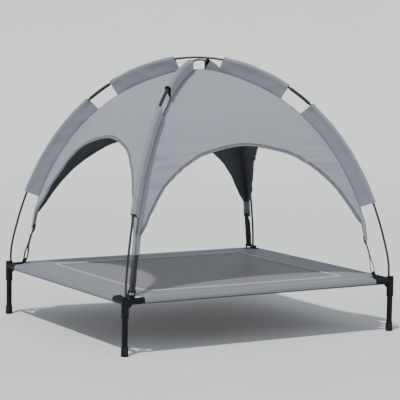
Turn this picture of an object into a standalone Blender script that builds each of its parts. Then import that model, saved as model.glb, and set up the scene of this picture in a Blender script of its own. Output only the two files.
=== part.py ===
"""Raised dog bed with a clip-on canopy.

A mesh sling is stretched over a tube frame that stands on four legs. Two sprung poles cross over it
from corner to corner. They run in sleeves along the canopy's ridges, and their ends stand in sockets in
the corner connectors. An elastic strap at each corner holds the canopy down.

Metres, +Z up, ground at Z = 0. X runs along the bed's long side and Y from its front to its back.
"""
from math import atan2, cos, hypot, pi, radians, sin

import bmesh
import bpy
import numpy as np
from mathutils import Vector

# ---------------------------------------------------------------- driving dimensions

LENGTH = 0.900                 # between leg axes, along X
WIDTH = 0.768                  # between leg axes, along Y
CLEARANCE = 0.00035            # between pieces that touch

# Legs and feet
LEG_RADIUS = 0.0084
LEG_BORE = 0.0072
FOOT_RADIUS = 0.0106
FOOT_HEIGHT = 0.026
FOOT_FLOOR = 0.004
FOOT_ROUNDING = 0.0015
FOOT_TAPER = 0.0006

# Corner connectors
POST_RADIUS = 0.0105
POST_BOTTOM = 0.106
POST_TOP = 0.166
LEG_SOCKET_TOP = 0.127
BARREL_RADIUS = 0.0094
BARREL_REACH = 0.054           # from the leg axis to the barrel's mouth
BARREL_FLOOR = 0.018           # from the leg axis to the bottom of the bore
GUSSET_THICKNESS = 0.005
GUSSET_REACH = 0.023
GUSSET_FOOT = 0.130
GUSSET_ROOT = 0.004            # how far the gussets sink into the post and the barrel
SOCKET_RADIUS = 0.0040         # upright socket for the pole's end
SOCKET_FLOOR = 0.132
CUT_OVERRUN = 0.010            # how far a bore's cutter runs past the mouth

# Frame tubes and sling
TUBE_RADIUS = 0.0075
TUBE_BORE = 0.0065
TUBE_AXIS = 0.1515             # height of the frame tubes' axes
HEM_RADIUS = 0.0095
HEM_BORE = 0.0081
SLING_TOP = 0.1610
SLING_THICKNESS = 0.0020
CORNER_CUT = 0.058             # the sling's hems end this far from the leg axes
CORNER_STEP = 0.017            # and its corners are cut off between points this far in from the sides

# Poles: each half leans in from its socket and bends more and more up to the apex
POLE_INSET = 0.0048            # pole socket's axis, inwards from the leg axis
POLE_FOOT = 0.134              # height of the pole's lower end
POLE_LEAN = radians(11.5)
POLE_STIFFENING = 1.475        # power by which the bend grows towards the apex
LEAN_ONSET = 0.085             # share of the half pole over which it starts to lean
ROD_RADIUS = 0.0033
ROD_GAP = 0.001                # from a ferrule's middle to the end of each rod in it
FERRULE_RADIUS = 0.0050
FERRULE_LENGTH = 0.074
FERRULE_PLAY = 0.0004
CROSSING_LIFT = 0.0036         # one pole passes over the other, each by this much from the middle

# Canopy
FLAP_WIDTH = 0.040             # from the ridge seam to the pole's axis
FLAP_NARROWING = 0.008         # the flap is this much narrower at the apex
NARROWING_ONSET = 0.8          # share of the half pole at which that starts
FLAP_HALF_THICKNESS = 0.0010
SEAM_GAP = 0.0006              # between the flap and the ridge seam
CHANNEL_RADIUS = 0.0084        # the sleeve widens from the seam to this round the pole
CHANNEL_BORE = 0.0072
ARC_REACH = radians(110)       # how far round the pole the channel's arc goes, each way
THROAT_DEPTH = 0.030           # the inside of the sleeve comes to an edge this far from the pole
THROAT_HALF_GAP = 0.0003
UPPER_SLEEVE = (0.075, 0.272)  # from and to, as the pole's distance from the middle
LOWER_SLEEVE = (0.342, 0.535)
UPPER_SLANTS = (0.000, 0.012)  # how far the seam side runs past the pole side, at the low and high ends
LOWER_SLANTS = (0.000, 0.008)
SLANT_FADE = 0.3               # share of the sleeve's length over which a slant dies out
PANEL_THICKNESS = 0.0016
SEAM_SETBACK = 0.0045          # panel edges stop this far short of the ridge, along their rows
APEX_RADIUS = 0.007            # the panels' top rows start here
MIN_HALF_ROW = 0.0005
BULGE = 0.011                  # the taut cloth stands out this much over the arches
BULGE_HEIGHTS = (0.45, 0.52, 0.62, 0.77)  # where the bulge starts, is full, starts to fade and is gone

# Each arch's edge from the middle down to the corner tab: half span and height
ARCH_LONG = (
    (0.000, 0.561), (0.130, 0.540), (0.190, 0.515), (0.252, 0.475),
    (0.2965, 0.433), (0.3325, 0.385), (0.355, 0.350),
)
ARCH_SHORT = (
    (0.000, 0.573), (0.100, 0.555), (0.165, 0.524), (0.2165, 0.472),
    (0.264, 0.4065), (0.285, 0.365), (0.298, 0.350),
)
TAB_HALF_WIDTHS = (0.0150, 0.0125)        # of each leaf of the folded corner tab, at its top and tip

# Corner tabs, straps and hooks, in the upright plane through the bed's diagonal
TAB_CREASE = ((0.5128, 0.323), (0.5183, 0.287), (0.5200, 0.272))  # distance from the middle, height
TAB_THICKNESS = 0.0026
STRAP_TOP = (0.5165, 0.272)
STRAP_WIDTH = 0.0180
STRAP_WIDTH_AT_BAR = 0.0145
STRAP_THICKNESS = 0.0016
STRAP_SPLIT = (0.5310, 0.2150)
STRAP_SEWN = 0.012             # length that is sewn together above the split
SPLIT_GAP = 0.0006
BELLY_PLACE = 0.45             # the loop is widest this share of the way up from the bar
BELLY_GROWTH = 1.25
HOOK_BAR = (0.5406, 0.1735)
HOOK_BAR_RADIUS = 0.0032
BAR_PLAY = 0.0007              # between the bar and the webbing
HOOK_PRONG_GAP = 0.0165
HOOK_PRONG_THICKNESS = 0.0026
PRONG_FLARE = 1.2              # the prongs' heads, in bar radii from the bar's axis
PRONG_CORNER = 0.9
HOOK_WIDTH = 0.0060
HOOK_THICKNESS = 0.0036
HOOK_PLAY = 0.0006             # between the claw and the anchor bar
CLAW_LIP = 0.001
SHANK_REACH = 0.012
YOKE_PLACE = 0.0135            # the yoke joins the prongs this far above the anchor bar
YOKE_DEPTH = 0.0040
YOKE_RISE = 0.0010
ANCHOR_INSET = 0.0330          # anchor bar's middle, inwards from the leg axis
ANCHOR_HEIGHT = 0.1530
ANCHOR_RADIUS = 0.0030
ANCHOR_ENDS = (-0.0325, 0.0229)  # along the bar, towards the short side's barrel and the long side's

ROUND_SIDES = 16
ROD_SIDES = 8
BAR_SIDES = 12

CORNERS = {
    "front_left": (-1, -1),
    "front_right": (1, -1),
    "back_left": (-1, 1),
    "back_right": (1, 1),
}
HALF_DIAGONAL = hypot(LENGTH / 2, WIDTH / 2)
POLES = {
    "pole_a": ("front_right", "back_left", CROSSING_LIFT),
    "pole_b": ("front_left", "back_right", -CROSSING_LIFT),
}


# ---------------------------------------------------------------- materials and small helpers

def make_material(name, colour, roughness, metallic=0.0):
    material = bpy.data.materials.new(name)
    material.use_nodes = True
    shader = material.node_tree.nodes["Principled BSDF"]
    shader.inputs["Base Color"].default_value = (*colour, 1.0)
    shader.inputs["Roughness"].default_value = roughness
    shader.inputs["Metallic"].default_value = metallic
    return material


def add_object(name, vertices, faces, material, parent, azimuth=0.0, location=(0.0, 0.0, 0.0)):
    """A closed mesh object with its faces turned outwards, under a parent empty."""
    mesh = bpy.data.meshes.new(name)
    mesh.from_pydata([tuple(v) for v in vertices], [], faces)
    fixer = bmesh.new()
    fixer.from_mesh(mesh)
    bmesh.ops.recalc_face_normals(fixer, faces=fixer.faces)
    fixer.to_mesh(mesh)
    fixer.free()
    mesh.shade_smooth()
    mesh.set_sharp_from_angle(angle=radians(35))
    mesh.materials.append(material)
    item = bpy.data.objects.new(name, mesh)
    bpy.context.scene.collection.objects.link(item)
    item.location = location
    item.rotation_euler = (0.0, 0.0, azimuth)
    item.parent = parent
    return item


def ring_faces(rings, first, second):
    """Quads between two rings of vertex numbers."""
    count = len(rings[first])
    lower = rings[first]
    upper = rings[second]
    return [
        (lower[i], lower[(i + 1) % count], upper[(i + 1) % count], upper[i]) for i in range(count)
    ]


def hollow_mesh(outer, inner):
    """Vertices and faces between outer loops of points and as many inner ones, with open ends."""
    count = len(outer[0])
    vertices = []
    walls = []
    bores = []
    for outside, inside in zip(outer, inner):
        for points, rings in ((outside, walls), (inside, bores)):
            rings.append(list(range(len(vertices), len(vertices) + count)))
            vertices += points
    faces = []
    for k in range(len(outer) - 1):
        faces += ring_faces(walls, k, k + 1)
        faces += ring_faces(bores, k, k + 1)
    for end in (0, -1):
        faces += ring_faces([walls[end], bores[end]], 0, 1)
    return vertices, faces


def tube_mesh(centres, side, radius, sides, bore=None):
    """Vertices and faces of a rod, or of a tube with a bore, along points in a plane.

    side is the unit vector across that plane, so the rings never twist.
    """
    outer = []
    inner = []
    last = len(centres) - 1
    for k, centre in enumerate(centres):
        along = (centres[min(k + 1, last)] - centres[max(k - 1, 0)]).normalized()
        out = side.cross(along).normalized()
        for size, rings in ((radius, outer), (bore, inner)):
            if size is None:
                continue
            angles = [2 * pi * i / sides for i in range(sides)]
            rings.append([centre + out * (size * cos(a)) + side * (size * sin(a)) for a in angles])
    if bore is not None:
        return hollow_mesh(outer, inner)
    vertices = [point for ring in outer for point in ring]
    rings = [list(range(k * sides, (k + 1) * sides)) for k in range(len(outer))]
    faces = [tuple(rings[0]), tuple(rings[-1])]
    for k in range(last):
        faces += ring_faces(rings, k, k + 1)
    return vertices, faces


def turned_mesh(profile, sides):
    """A solid of revolution about Z: profile is (radius, height) pairs from axis to axis."""
    vertices = [Vector((0.0, 0.0, profile[0][1])), Vector((0.0, 0.0, profile[-1][1]))]
    rings = []
    for radius, height in profile[1:-1]:
        rings.append(list(range(len(vertices), len(vertices) + sides)))
        for i in range(sides):
            angle = 2 * pi * i / sides
            vertices.append(Vector((radius * cos(angle), radius * sin(angle), height)))
    faces = []
    for k in range(len(rings) - 1):
        faces += ring_faces(rings, k, k + 1)
    for pole, ring in ((0, rings[0]), (1, rings[-1])):
        faces += [(pole, ring[i], ring[(i + 1) % sides]) for i in range(sides)]
    return vertices, faces


def plate_mesh(outline, thickness, normal):
    """A flat plate: an outline of points, thickened both ways along its normal."""
    count = len(outline)
    shift = normal * (thickness / 2)
    vertices = [p - shift for p in outline] + [p + shift for p in outline]
    lower = list(range(count))
    upper = list(range(count, 2 * count))
    faces = ring_faces([lower, upper], 0, 1) + [tuple(lower), tuple(upper)]
    return vertices, faces


def boolean(target, shape, operation):
    """Join a shape to the target's mesh, or cut it out, and drop the tool."""
    tool = add_object("tool", *shape, target.data.materials[0], None)
    modifier = target.modifiers.new(operation, "BOOLEAN")
    modifier.operation = operation
    modifier.solver = "EXACT"
    modifier.object = tool
    bpy.context.view_layer.update()
    graph = bpy.context.evaluated_depsgraph_get()
    result = bpy.data.meshes.new_from_object(target.evaluated_get(graph))
    target.modifiers.clear()
    old = target.data
    target.data = result
    bpy.data.meshes.remove(old)
    used = tool.data
    bpy.data.objects.remove(tool)
    bpy.data.meshes.remove(used)
    result.shade_smooth()
    result.set_sharp_from_angle(angle=radians(35))


def corner_azimuth(corner):
    sign_x, sign_y = CORNERS[corner]
    return atan2(sign_y * WIDTH, sign_x * LENGTH)


def leg_axis(corner):
    sign_x, sign_y = CORNERS[corner]
    return Vector((sign_x * LENGTH / 2, sign_y * WIDTH / 2, 0.0))


# ---------------------------------------------------------------- the bent pole and the ridge

def bend_pole(steps=240):
    """Half a pole above its socket: share of its length, distance from the middle, height, lean."""
    share = np.linspace(0.0, 1.0, steps + 1)
    onset = np.clip(share / LEAN_ONSET, 0.0, 1.0)
    lean = POLE_LEAN * onset * onset * (3 - 2 * onset)
    lean = lean + (pi / 2 - POLE_LEAN) * share ** POLE_STIFFENING
    middle = (lean[1:] + lean[:-1]) / 2
    inwards = np.concatenate([[0.0], np.cumsum(np.sin(middle))]) / steps
    upwards = np.concatenate([[0.0], np.cumsum(np.cos(middle))]) / steps
    start = HALF_DIAGONAL - POLE_INSET
    length = start / inwards[-1]
    return share, start - length * inwards, POST_TOP + length * upwards, lean


POLE_SHARE, POLE_RADIUS, POLE_HEIGHT, POLE_ANGLE = bend_pole()


def share_at(radius):
    """Share of the half pole at which it is this far from the middle."""
    return float(np.interp(-radius, -POLE_RADIUS, POLE_SHARE))


def ease(value):
    value = min(max(value, 0.0), 1.0)
    return value * value * (3 - 2 * value)


def pole_point(share, lift=0.0):
    """Pole axis at this share, as distance from the middle and height."""
    radius = float(np.interp(share, POLE_SHARE, POLE_RADIUS))
    height = float(np.interp(share, POLE_SHARE, POLE_HEIGHT))
    return radius, height + lift * ease((share - 0.5) / 0.5)


def ridge_point(share):
    """Ridge seam beside the pole at this share."""
    radius, height = pole_point(share)
    angle = float(np.interp(share, POLE_SHARE, POLE_ANGLE))
    width = FLAP_WIDTH - FLAP_NARROWING * ease((share - NARROWING_ONSET) / (1 - NARROWING_ONSET))
    return radius - width * cos(angle), height - width * sin(angle)


def ridge_line(steps=60):
    """The ridge from the apex down to the top of the corner tab."""
    shares = np.linspace(1.0, share_at(LOWER_SLEEVE[1]), steps)
    points = [ridge_point(float(share)) for share in shares] + [TAB_CREASE[0]]
    return np.array(points)


RIDGE = ridge_line()


def ridge_at_height(height):
    """Distance of the ridge from the middle at this height."""
    return float(np.interp(-height, -RIDGE[:, 1], RIDGE[:, 0]))


# ---------------------------------------------------------------- bed frame

def make_foot(corner, material, parent):
    profile = [
        (0.0, 0.0),
        (FOOT_RADIUS - FOOT_ROUNDING, 0.0),
        (FOOT_RADIUS, FOOT_ROUNDING),
        (FOOT_RADIUS, FOOT_FLOOR),
        (FOOT_RADIUS - FOOT_TAPER, FOOT_HEIGHT),
        (LEG_RADIUS + CLEARANCE, FOOT_HEIGHT),
        (LEG_RADIUS + CLEARANCE, FOOT_FLOOR),
        (0.0, FOOT_FLOOR),
    ]
    shape = turned_mesh(profile, ROUND_SIDES)
    return add_object("foot_cap_" + corner, *shape, material, parent, location=leg_axis(corner))


def make_leg(corner, material, parent):
    ends = [Vector((0, 0, FOOT_FLOOR + CLEARANCE)), Vector((0, 0, LEG_SOCKET_TOP - CLEARANCE))]
    shape = tube_mesh(ends, Vector((0, 1, 0)), LEG_RADIUS, ROUND_SIDES, LEG_BORE)
    return add_object("leg_tube_" + corner, *shape, material, parent, location=leg_axis(corner))


def connector_arms(corner):
    """Inward direction and sideways direction of a connector's two barrels."""
    sign_x, sign_y = CORNERS[corner]
    yield Vector((-sign_x, 0, 0)), Vector((0, 1, 0))
    yield Vector((0, -sign_y, 0)), Vector((1, 0, 0))


def make_connector(corner, material, parent):
    """Post with two barrels, gussets, an anchor bar for the strap hook, and four sockets."""
    across = Vector((0, 1, 0))
    ends = [Vector((0, 0, POST_BOTTOM)), Vector((0, 0, POST_TOP))]
    post = tube_mesh(ends, across, POST_RADIUS, ROUND_SIDES)
    item = add_object("connector_" + corner, *post, material, parent)
    lift = Vector((0, 0, TUBE_AXIS))
    foot = Vector((0, 0, GUSSET_FOOT))
    under = Vector((0, 0, TUBE_AXIS - BARREL_RADIUS))
    sunk = Vector((0, 0, GUSSET_ROOT))
    for inward, side in connector_arms(corner):
        barrel = tube_mesh([lift, lift + inward * BARREL_REACH], side, BARREL_RADIUS, ROUND_SIDES)
        boolean(item, barrel, "UNION")
        outline = [
            inward * (POST_RADIUS - GUSSET_ROOT) + foot,
            inward * POST_RADIUS + foot,
            inward * GUSSET_REACH + under,
            inward * GUSSET_REACH + under + sunk,
            inward * (POST_RADIUS - GUSSET_ROOT) + under + sunk,
        ]
        boolean(item, plate_mesh(outline, GUSSET_THICKNESS, side), "UNION")
    sign_x, sign_y = CORNERS[corner]
    azimuth = corner_azimuth(corner)
    out = Vector((cos(azimuth), sin(azimuth), 0))
    along = Vector((-sin(azimuth), cos(azimuth), 0)) * (sign_x * sign_y)
    centre = out * -ANCHOR_INSET + Vector((0, 0, ANCHOR_HEIGHT))
    ends = [centre + along * reach for reach in ANCHOR_ENDS]
    boolean(item, tube_mesh(ends, Vector((0, 0, 1)), ANCHOR_RADIUS, ROD_SIDES), "UNION")
    leg_socket = [Vector((0, 0, POST_BOTTOM - CUT_OVERRUN)), Vector((0, 0, LEG_SOCKET_TOP))]
    boolean(item, tube_mesh(leg_socket, across, LEG_RADIUS + CLEARANCE, ROUND_SIDES), "DIFFERENCE")
    socket = [
        out * -POLE_INSET + Vector((0, 0, SOCKET_FLOOR)),
        out * -POLE_INSET + Vector((0, 0, POST_TOP + CUT_OVERRUN)),
    ]
    boolean(item, tube_mesh(socket, along, SOCKET_RADIUS, ROUND_SIDES), "DIFFERENCE")
    for inward, side in connector_arms(corner):
        bore = [lift + inward * BARREL_FLOOR, lift + inward * (BARREL_REACH + CUT_OVERRUN)]
        boolean(item, tube_mesh(bore, side, TUBE_RADIUS + CLEARANCE, ROUND_SIDES), "DIFFERENCE")
    item.location = leg_axis(corner)
    return item


def frame_runs():
    """The four sides of the frame: name, middle, direction and distance between leg axes."""
    for name, sign in (("front", -1), ("back", 1)):
        yield name, Vector((0, sign * WIDTH / 2, TUBE_AXIS)), Vector((1, 0, 0)), LENGTH
    for name, sign in (("left", -1), ("right", 1)):
        yield name, Vector((sign * LENGTH / 2, 0, TUBE_AXIS)), Vector((0, 1, 0)), WIDTH


def side_of(direction):
    return Vector((0, 1, 0)) if abs(direction.x) > 0.5 else Vector((1, 0, 0))


def make_frame_tubes(material, parent):
    for name, middle, direction, span in frame_runs():
        half = span / 2 - BARREL_FLOOR - CLEARANCE
        ends = [direction * -half, direction * half]
        shape = tube_mesh(ends, side_of(direction), TUBE_RADIUS, ROUND_SIDES, TUBE_BORE)
        add_object("frame_tube_" + name, *shape, material, parent, location=middle)


def make_sling(material, parent):
    """Sheet with its corners cut off and a hem sleeve along each side, round the frame tubes."""
    half_x = LENGTH / 2
    half_y = WIDTH / 2
    outline = []
    for sign_x, sign_y in ((1, 1), (-1, 1), (-1, -1), (1, -1)):
        insets = [
            (0.0, CORNER_CUT),
            (CORNER_STEP, CORNER_CUT),
            (CORNER_CUT, CORNER_STEP),
            (CORNER_CUT, 0.0),
        ]
        if sign_x * sign_y < 0:
            insets.reverse()
        for inset_x, inset_y in insets:
            outline.append(Vector((sign_x * (half_x - inset_x), sign_y * (half_y - inset_y), 0)))
    level = Vector((0, 0, SLING_TOP - SLING_THICKNESS / 2))
    sheet = plate_mesh([p + level for p in outline], SLING_THICKNESS, Vector((0, 0, 1)))
    item = add_object("sling_fabric", *sheet, material, parent)
    for _, middle, direction, span in frame_runs():
        half = span / 2 - CORNER_CUT
        ends = [middle - direction * half, middle + direction * half]
        boolean(item, tube_mesh(ends, side_of(direction), HEM_RADIUS, ROUND_SIDES), "UNION")
    for _, middle, direction, span in frame_runs():
        half = span / 2 - CORNER_CUT + CUT_OVERRUN
        ends = [middle - direction * half, middle + direction * half]
        boolean(item, tube_mesh(ends, side_of(direction), HEM_BORE, ROUND_SIDES), "DIFFERENCE")
    return item


# ---------------------------------------------------------------- poles

def in_plane(points):
    """Distance-and-height pairs as points in the upright plane of a corner."""
    return [Vector((radius, 0, height)) for radius, height in points]


def make_poles(rod_material, ferrule_material, parent):
    """Each pole is three rods, joined by two ferrules in the gaps between the sleeves."""
    across = Vector((0, 1, 0))
    joint = (share_at(UPPER_SLEEVE[1]) + share_at(LOWER_SLEEVE[0])) / 2
    half_length = HALF_DIAGONAL - POLE_INSET
    half_pole = float(np.sum(np.hypot(np.diff(POLE_RADIUS), np.diff(POLE_HEIGHT))))
    ferrule_reach = FERRULE_LENGTH / 2 / half_pole
    rod_gap = ROD_GAP / half_pole
    for pole, (start, end, lift) in POLES.items():
        for corner in (start, end):
            low = [(half_length, POLE_FOOT)]
            leaning = np.linspace(0, LEAN_ONSET, 5)
            bent = np.linspace(LEAN_ONSET, joint - rod_gap, 13)[1:]
            shares = np.concatenate([leaning, bent])
            path = in_plane(low + [pole_point(float(s), lift) for s in shares])
            shape = tube_mesh(path, across, ROD_RADIUS, ROD_SIDES)
            name = pole + "_rod_" + corner
            add_object(name, *shape, rod_material, parent, azimuth=corner_azimuth(corner))
            shares = np.linspace(joint - ferrule_reach, joint + ferrule_reach, 4)
            path = in_plane([pole_point(float(s), lift) for s in shares])
            shape = tube_mesh(path, across, FERRULE_RADIUS, ROD_SIDES, ROD_RADIUS + FERRULE_PLAY)
            name = pole + "_ferrule_" + corner
            add_object(name, *shape, ferrule_material, parent, azimuth=corner_azimuth(corner))
        shares = np.linspace(joint + rod_gap, 1.0, 11)
        half = in_plane([pole_point(float(s), lift) for s in shares])
        path = half + [Vector((-p.x, 0, p.z)) for p in reversed(half[:-1])]
        shape = tube_mesh(path, across, ROD_RADIUS, ROD_SIDES)
        add_object(pole + "_rod_middle", *shape, rod_material, parent, azimuth=corner_azimuth(start))


# ---------------------------------------------------------------- canopy

def smooth_arch(points, steps=12):
    """Catmull-Rom curve through an arch's points, from its middle to its end."""
    points = np.array(points)
    before = points[1] * np.array([-1.0, 1.0])
    after = 2 * points[-1] - points[-2]
    padded = np.vstack([before, points, after])
    curve = []
    for k in range(1, len(points)):
        p, q, r, s = padded[k - 1:k + 3]
        for t in np.linspace(0.0, 1.0, steps, endpoint=False):
            bend = (2 * p - 5 * q + 4 * r - s) * t * t + (3 * q - p - 3 * r + s) * t ** 3
            curve.append(0.5 * (2 * q + (r - p) * t + bend))
    return np.array(curve + [points[-1]])


def bulge_at(height):
    start, full, fading, gone = BULGE_HEIGHTS
    return BULGE * ease((height - start) / (full - start)) * ease((gone - height) / (gone - fading))


def panel_grid(arch, along_half, across_half, columns=18, rows=9):
    """Points of one canopy panel: rows run from ridge to ridge, columns from the apex to the arch."""
    distance = np.linspace(0.0, 1.0, len(RIDGE))
    top_place = float(np.interp(APEX_RADIUS, RIDGE[:, 0], distance))
    low_radius, low_height = TAB_CREASE[0]
    ends = (along_half * low_radius / HALF_DIAGONAL - TAB_HALF_WIDTHS[0], low_height)
    half_arch = smooth_arch(arch + (ends,))
    reach = np.concatenate([[0.0], np.cumsum(np.hypot(*np.diff(half_arch, axis=0).T))])
    cuts = [(1.0, 1.0)]
    for stop in np.linspace(-reach[-1], reach[-1], columns):
        span = float(np.interp(abs(stop), reach, half_arch[:, 0]))
        height = float(np.interp(abs(stop), reach, half_arch[:, 1]))
        half = along_half * ridge_at_height(height) / HALF_DIAGONAL - SEAM_SETBACK
        across = -span / half if stop > 0 else span / half
        cuts.append((across, float(np.interp(-height, -RIDGE[:, 1], distance))))
    cuts.append((-1.0, 1.0))
    grid = []
    for across, cut in cuts:
        column = []
        for place in np.linspace(top_place, cut, rows):
            radius = float(np.interp(place, distance, RIDGE[:, 0]))
            height = float(np.interp(place, distance, RIDGE[:, 1]))
            half = max(along_half * radius / HALF_DIAGONAL - SEAM_SETBACK, MIN_HALF_ROW)
            out = across_half * radius / HALF_DIAGONAL + bulge_at(height) * (1 - across * across)
            column.append(Vector((across * half, -out, height)))
        grid.append(column)
    return grid


def make_panel(name, arch, along_half, across_half, azimuth, material, parent):
    grid = panel_grid(arch, along_half, across_half)
    columns = len(grid)
    rows = len(grid[0])
    vertices = []
    for layer in (0, 1):
        for c in range(columns):
            for r in range(rows):
                right = grid[min(c + 1, columns - 1)][r] - grid[max(c - 1, 0)][r]
                down = grid[c][min(r + 1, rows - 1)] - grid[c][max(r - 1, 0)]
                inward = right.cross(down).normalized()
                if inward.y < 0:
                    inward.negate()
                vertices.append(grid[c][r] + inward * (PANEL_THICKNESS * layer))

    def number(layer, c, r):
        return layer * columns * rows + c * rows + r

    faces = []
    for layer in (0, 1):
        for c in range(columns - 1):
            for r in range(rows - 1):
                quad = [(c, r), (c + 1, r), (c + 1, r + 1), (c, r + 1)]
                faces.append(tuple(number(layer, *place) for place in quad))
    rim = [(c, 0) for c in range(columns)]
    rim += [(columns - 1, r) for r in range(1, rows)]
    rim += [(c, rows - 1) for c in range(columns - 2, -1, -1)]
    rim += [(0, r) for r in range(rows - 2, 0, -1)]
    outer = [number(0, *place) for place in rim]
    inner = [number(1, *place) for place in rim]
    faces += ring_faces([outer, inner], 0, 1)
    return add_object(name, vertices, faces, material, parent, azimuth=azimuth)


def make_sleeve(name, span, slants, lift, azimuth, material, parent, stations=8, arc=9):
    """Doubled cloth that stands on the ridge seam and widens into a channel round the pole."""
    side = Vector((0, 1, 0))
    half_pole = float(np.sum(np.hypot(np.diff(POLE_RADIUS), np.diff(POLE_HEIGHT))))
    low_slant, high_slant = (slant / half_pole for slant in slants)
    shares = np.linspace(share_at(span[1]), share_at(span[0]), stations)
    outer = []
    inner = []
    for place, share in zip(np.linspace(0.0, 1.0, stations), shares):
        shift = high_slant * ease((place - 1 + SLANT_FADE) / SLANT_FADE)
        shift -= low_slant * ease((SLANT_FADE - place) / SLANT_FADE)
        radius, height = pole_point(float(share), lift)
        pole = Vector((radius, 0, height))
        radius, height = ridge_point(min(float(share) + shift, 1.0))
        seam = Vector((radius, 0, height))
        out = (pole - seam).normalized()
        foot = seam + out * SEAM_GAP
        throat = pole - out * THROAT_DEPTH
        for size, edge, half, rings in (
            (CHANNEL_RADIUS, foot, FLAP_HALF_THICKNESS, outer),
            (CHANNEL_BORE, throat, THROAT_HALF_GAP, inner),
        ):
            angles = np.linspace(-ARC_REACH, ARC_REACH, arc)
            ring = [pole + out * (size * cos(a)) + side * (size * sin(a)) for a in angles]
            rings.append(ring + [edge + side * half, edge - side * half])
    return add_object(name, *hollow_mesh(outer, inner), material, parent, azimuth=azimuth)


def make_tab(corner, material, parent):
    """Folded end of the canopy's corner, into which the strap is sewn."""
    sign_x, sign_y = CORNERS[corner]
    azimuth = corner_azimuth(corner)
    out = Vector((cos(azimuth), sin(azimuth), 0))
    leaf_x = Vector((-sign_x, 0, 0))
    leaf_y = Vector((0, -sign_y, 0))
    top, tip = TAB_CREASE[0][1], TAB_CREASE[-1][1]
    rings = []
    vertices = []
    for radius, height in TAB_CREASE:
        half = float(np.interp(height, (tip, top), TAB_HALF_WIDTHS[::-1]))
        level = height - 2 * CLEARANCE if height == top else height
        crease = out * radius + Vector((0, 0, level))
        inset = (leaf_x + leaf_y) * TAB_THICKNESS
        section = [
            crease + leaf_x * half,
            crease,
            crease + leaf_y * half,
            crease + leaf_y * half + leaf_x * TAB_THICKNESS,
            crease + inset,
            crease + leaf_x * half + leaf_y * TAB_THICKNESS,
        ]
        rings.append(list(range(len(vertices), len(vertices) + len(section))))
        vertices += section
    faces = ring_faces(rings, 0, 1) + ring_faces(rings, 1, 2)
    for ring in (rings[0], rings[-1]):
        faces.append((ring[0], ring[1], ring[4], ring[5]))
        faces.append((ring[1], ring[2], ring[3], ring[4]))
    return add_object("corner_tab_" + corner, vertices, faces, material, parent)


def make_strap(corner, material, parent, points=6):
    """Elastic webbing, sewn into a loop round the hook's bar."""
    bar = Vector((HOOK_BAR[0], 0, HOOK_BAR[1]))
    split = Vector((STRAP_SPLIT[0], 0, STRAP_SPLIT[1]))
    top = Vector((STRAP_TOP[0], 0, STRAP_TOP[1] - CLEARANCE))
    up = (split - bar).normalized()
    side = Vector((up.z, 0, -up.x))
    wrap = HOOK_BAR_RADIUS + BAR_PLAY
    belly = bar + up * (split - bar).length * BELLY_PLACE
    swell = wrap * BELLY_GROWTH
    throat = split + up * STRAP_SEWN
    angles = [pi * i / (points - 1) for i in range(points)]
    ends = []
    for sign in (-1, 1):
        wide = Vector((0, sign * STRAP_WIDTH / 2, 0))
        narrow = Vector((0, sign * STRAP_WIDTH_AT_BAR / 2, 0))
        outside = [top - side * STRAP_THICKNESS + wide, top + side * STRAP_THICKNESS + wide]
        outside += [throat + side * STRAP_THICKNESS + wide]
        outside += [belly + side * (swell + STRAP_THICKNESS) + narrow]
        bend = [side * cos(a) - up * sin(a) for a in angles]
        outside += [bar + way * (wrap + STRAP_THICKNESS) + narrow for way in bend]
        outside += [belly - side * (swell + STRAP_THICKNESS) + narrow]
        outside += [throat - side * STRAP_THICKNESS + wide]
        inside = [split - side * SPLIT_GAP + wide, split + side * SPLIT_GAP + wide]
        inside += [split + side * SPLIT_GAP * 2 - up * SPLIT_GAP + wide]
        inside += [belly + side * swell + narrow]
        inside += [bar + way * wrap + narrow for way in bend]
        inside += [belly - side * swell + narrow]
        inside += [split - side * SPLIT_GAP * 2 - up * SPLIT_GAP + wide]
        ends.append((outside, inside))
    shape = hollow_mesh([ends[0][0], ends[1][0]], [ends[0][1], ends[1][1]])
    azimuth = corner_azimuth(corner)
    return add_object("elastic_strap_" + corner, *shape, material, parent, azimuth=azimuth)


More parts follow.
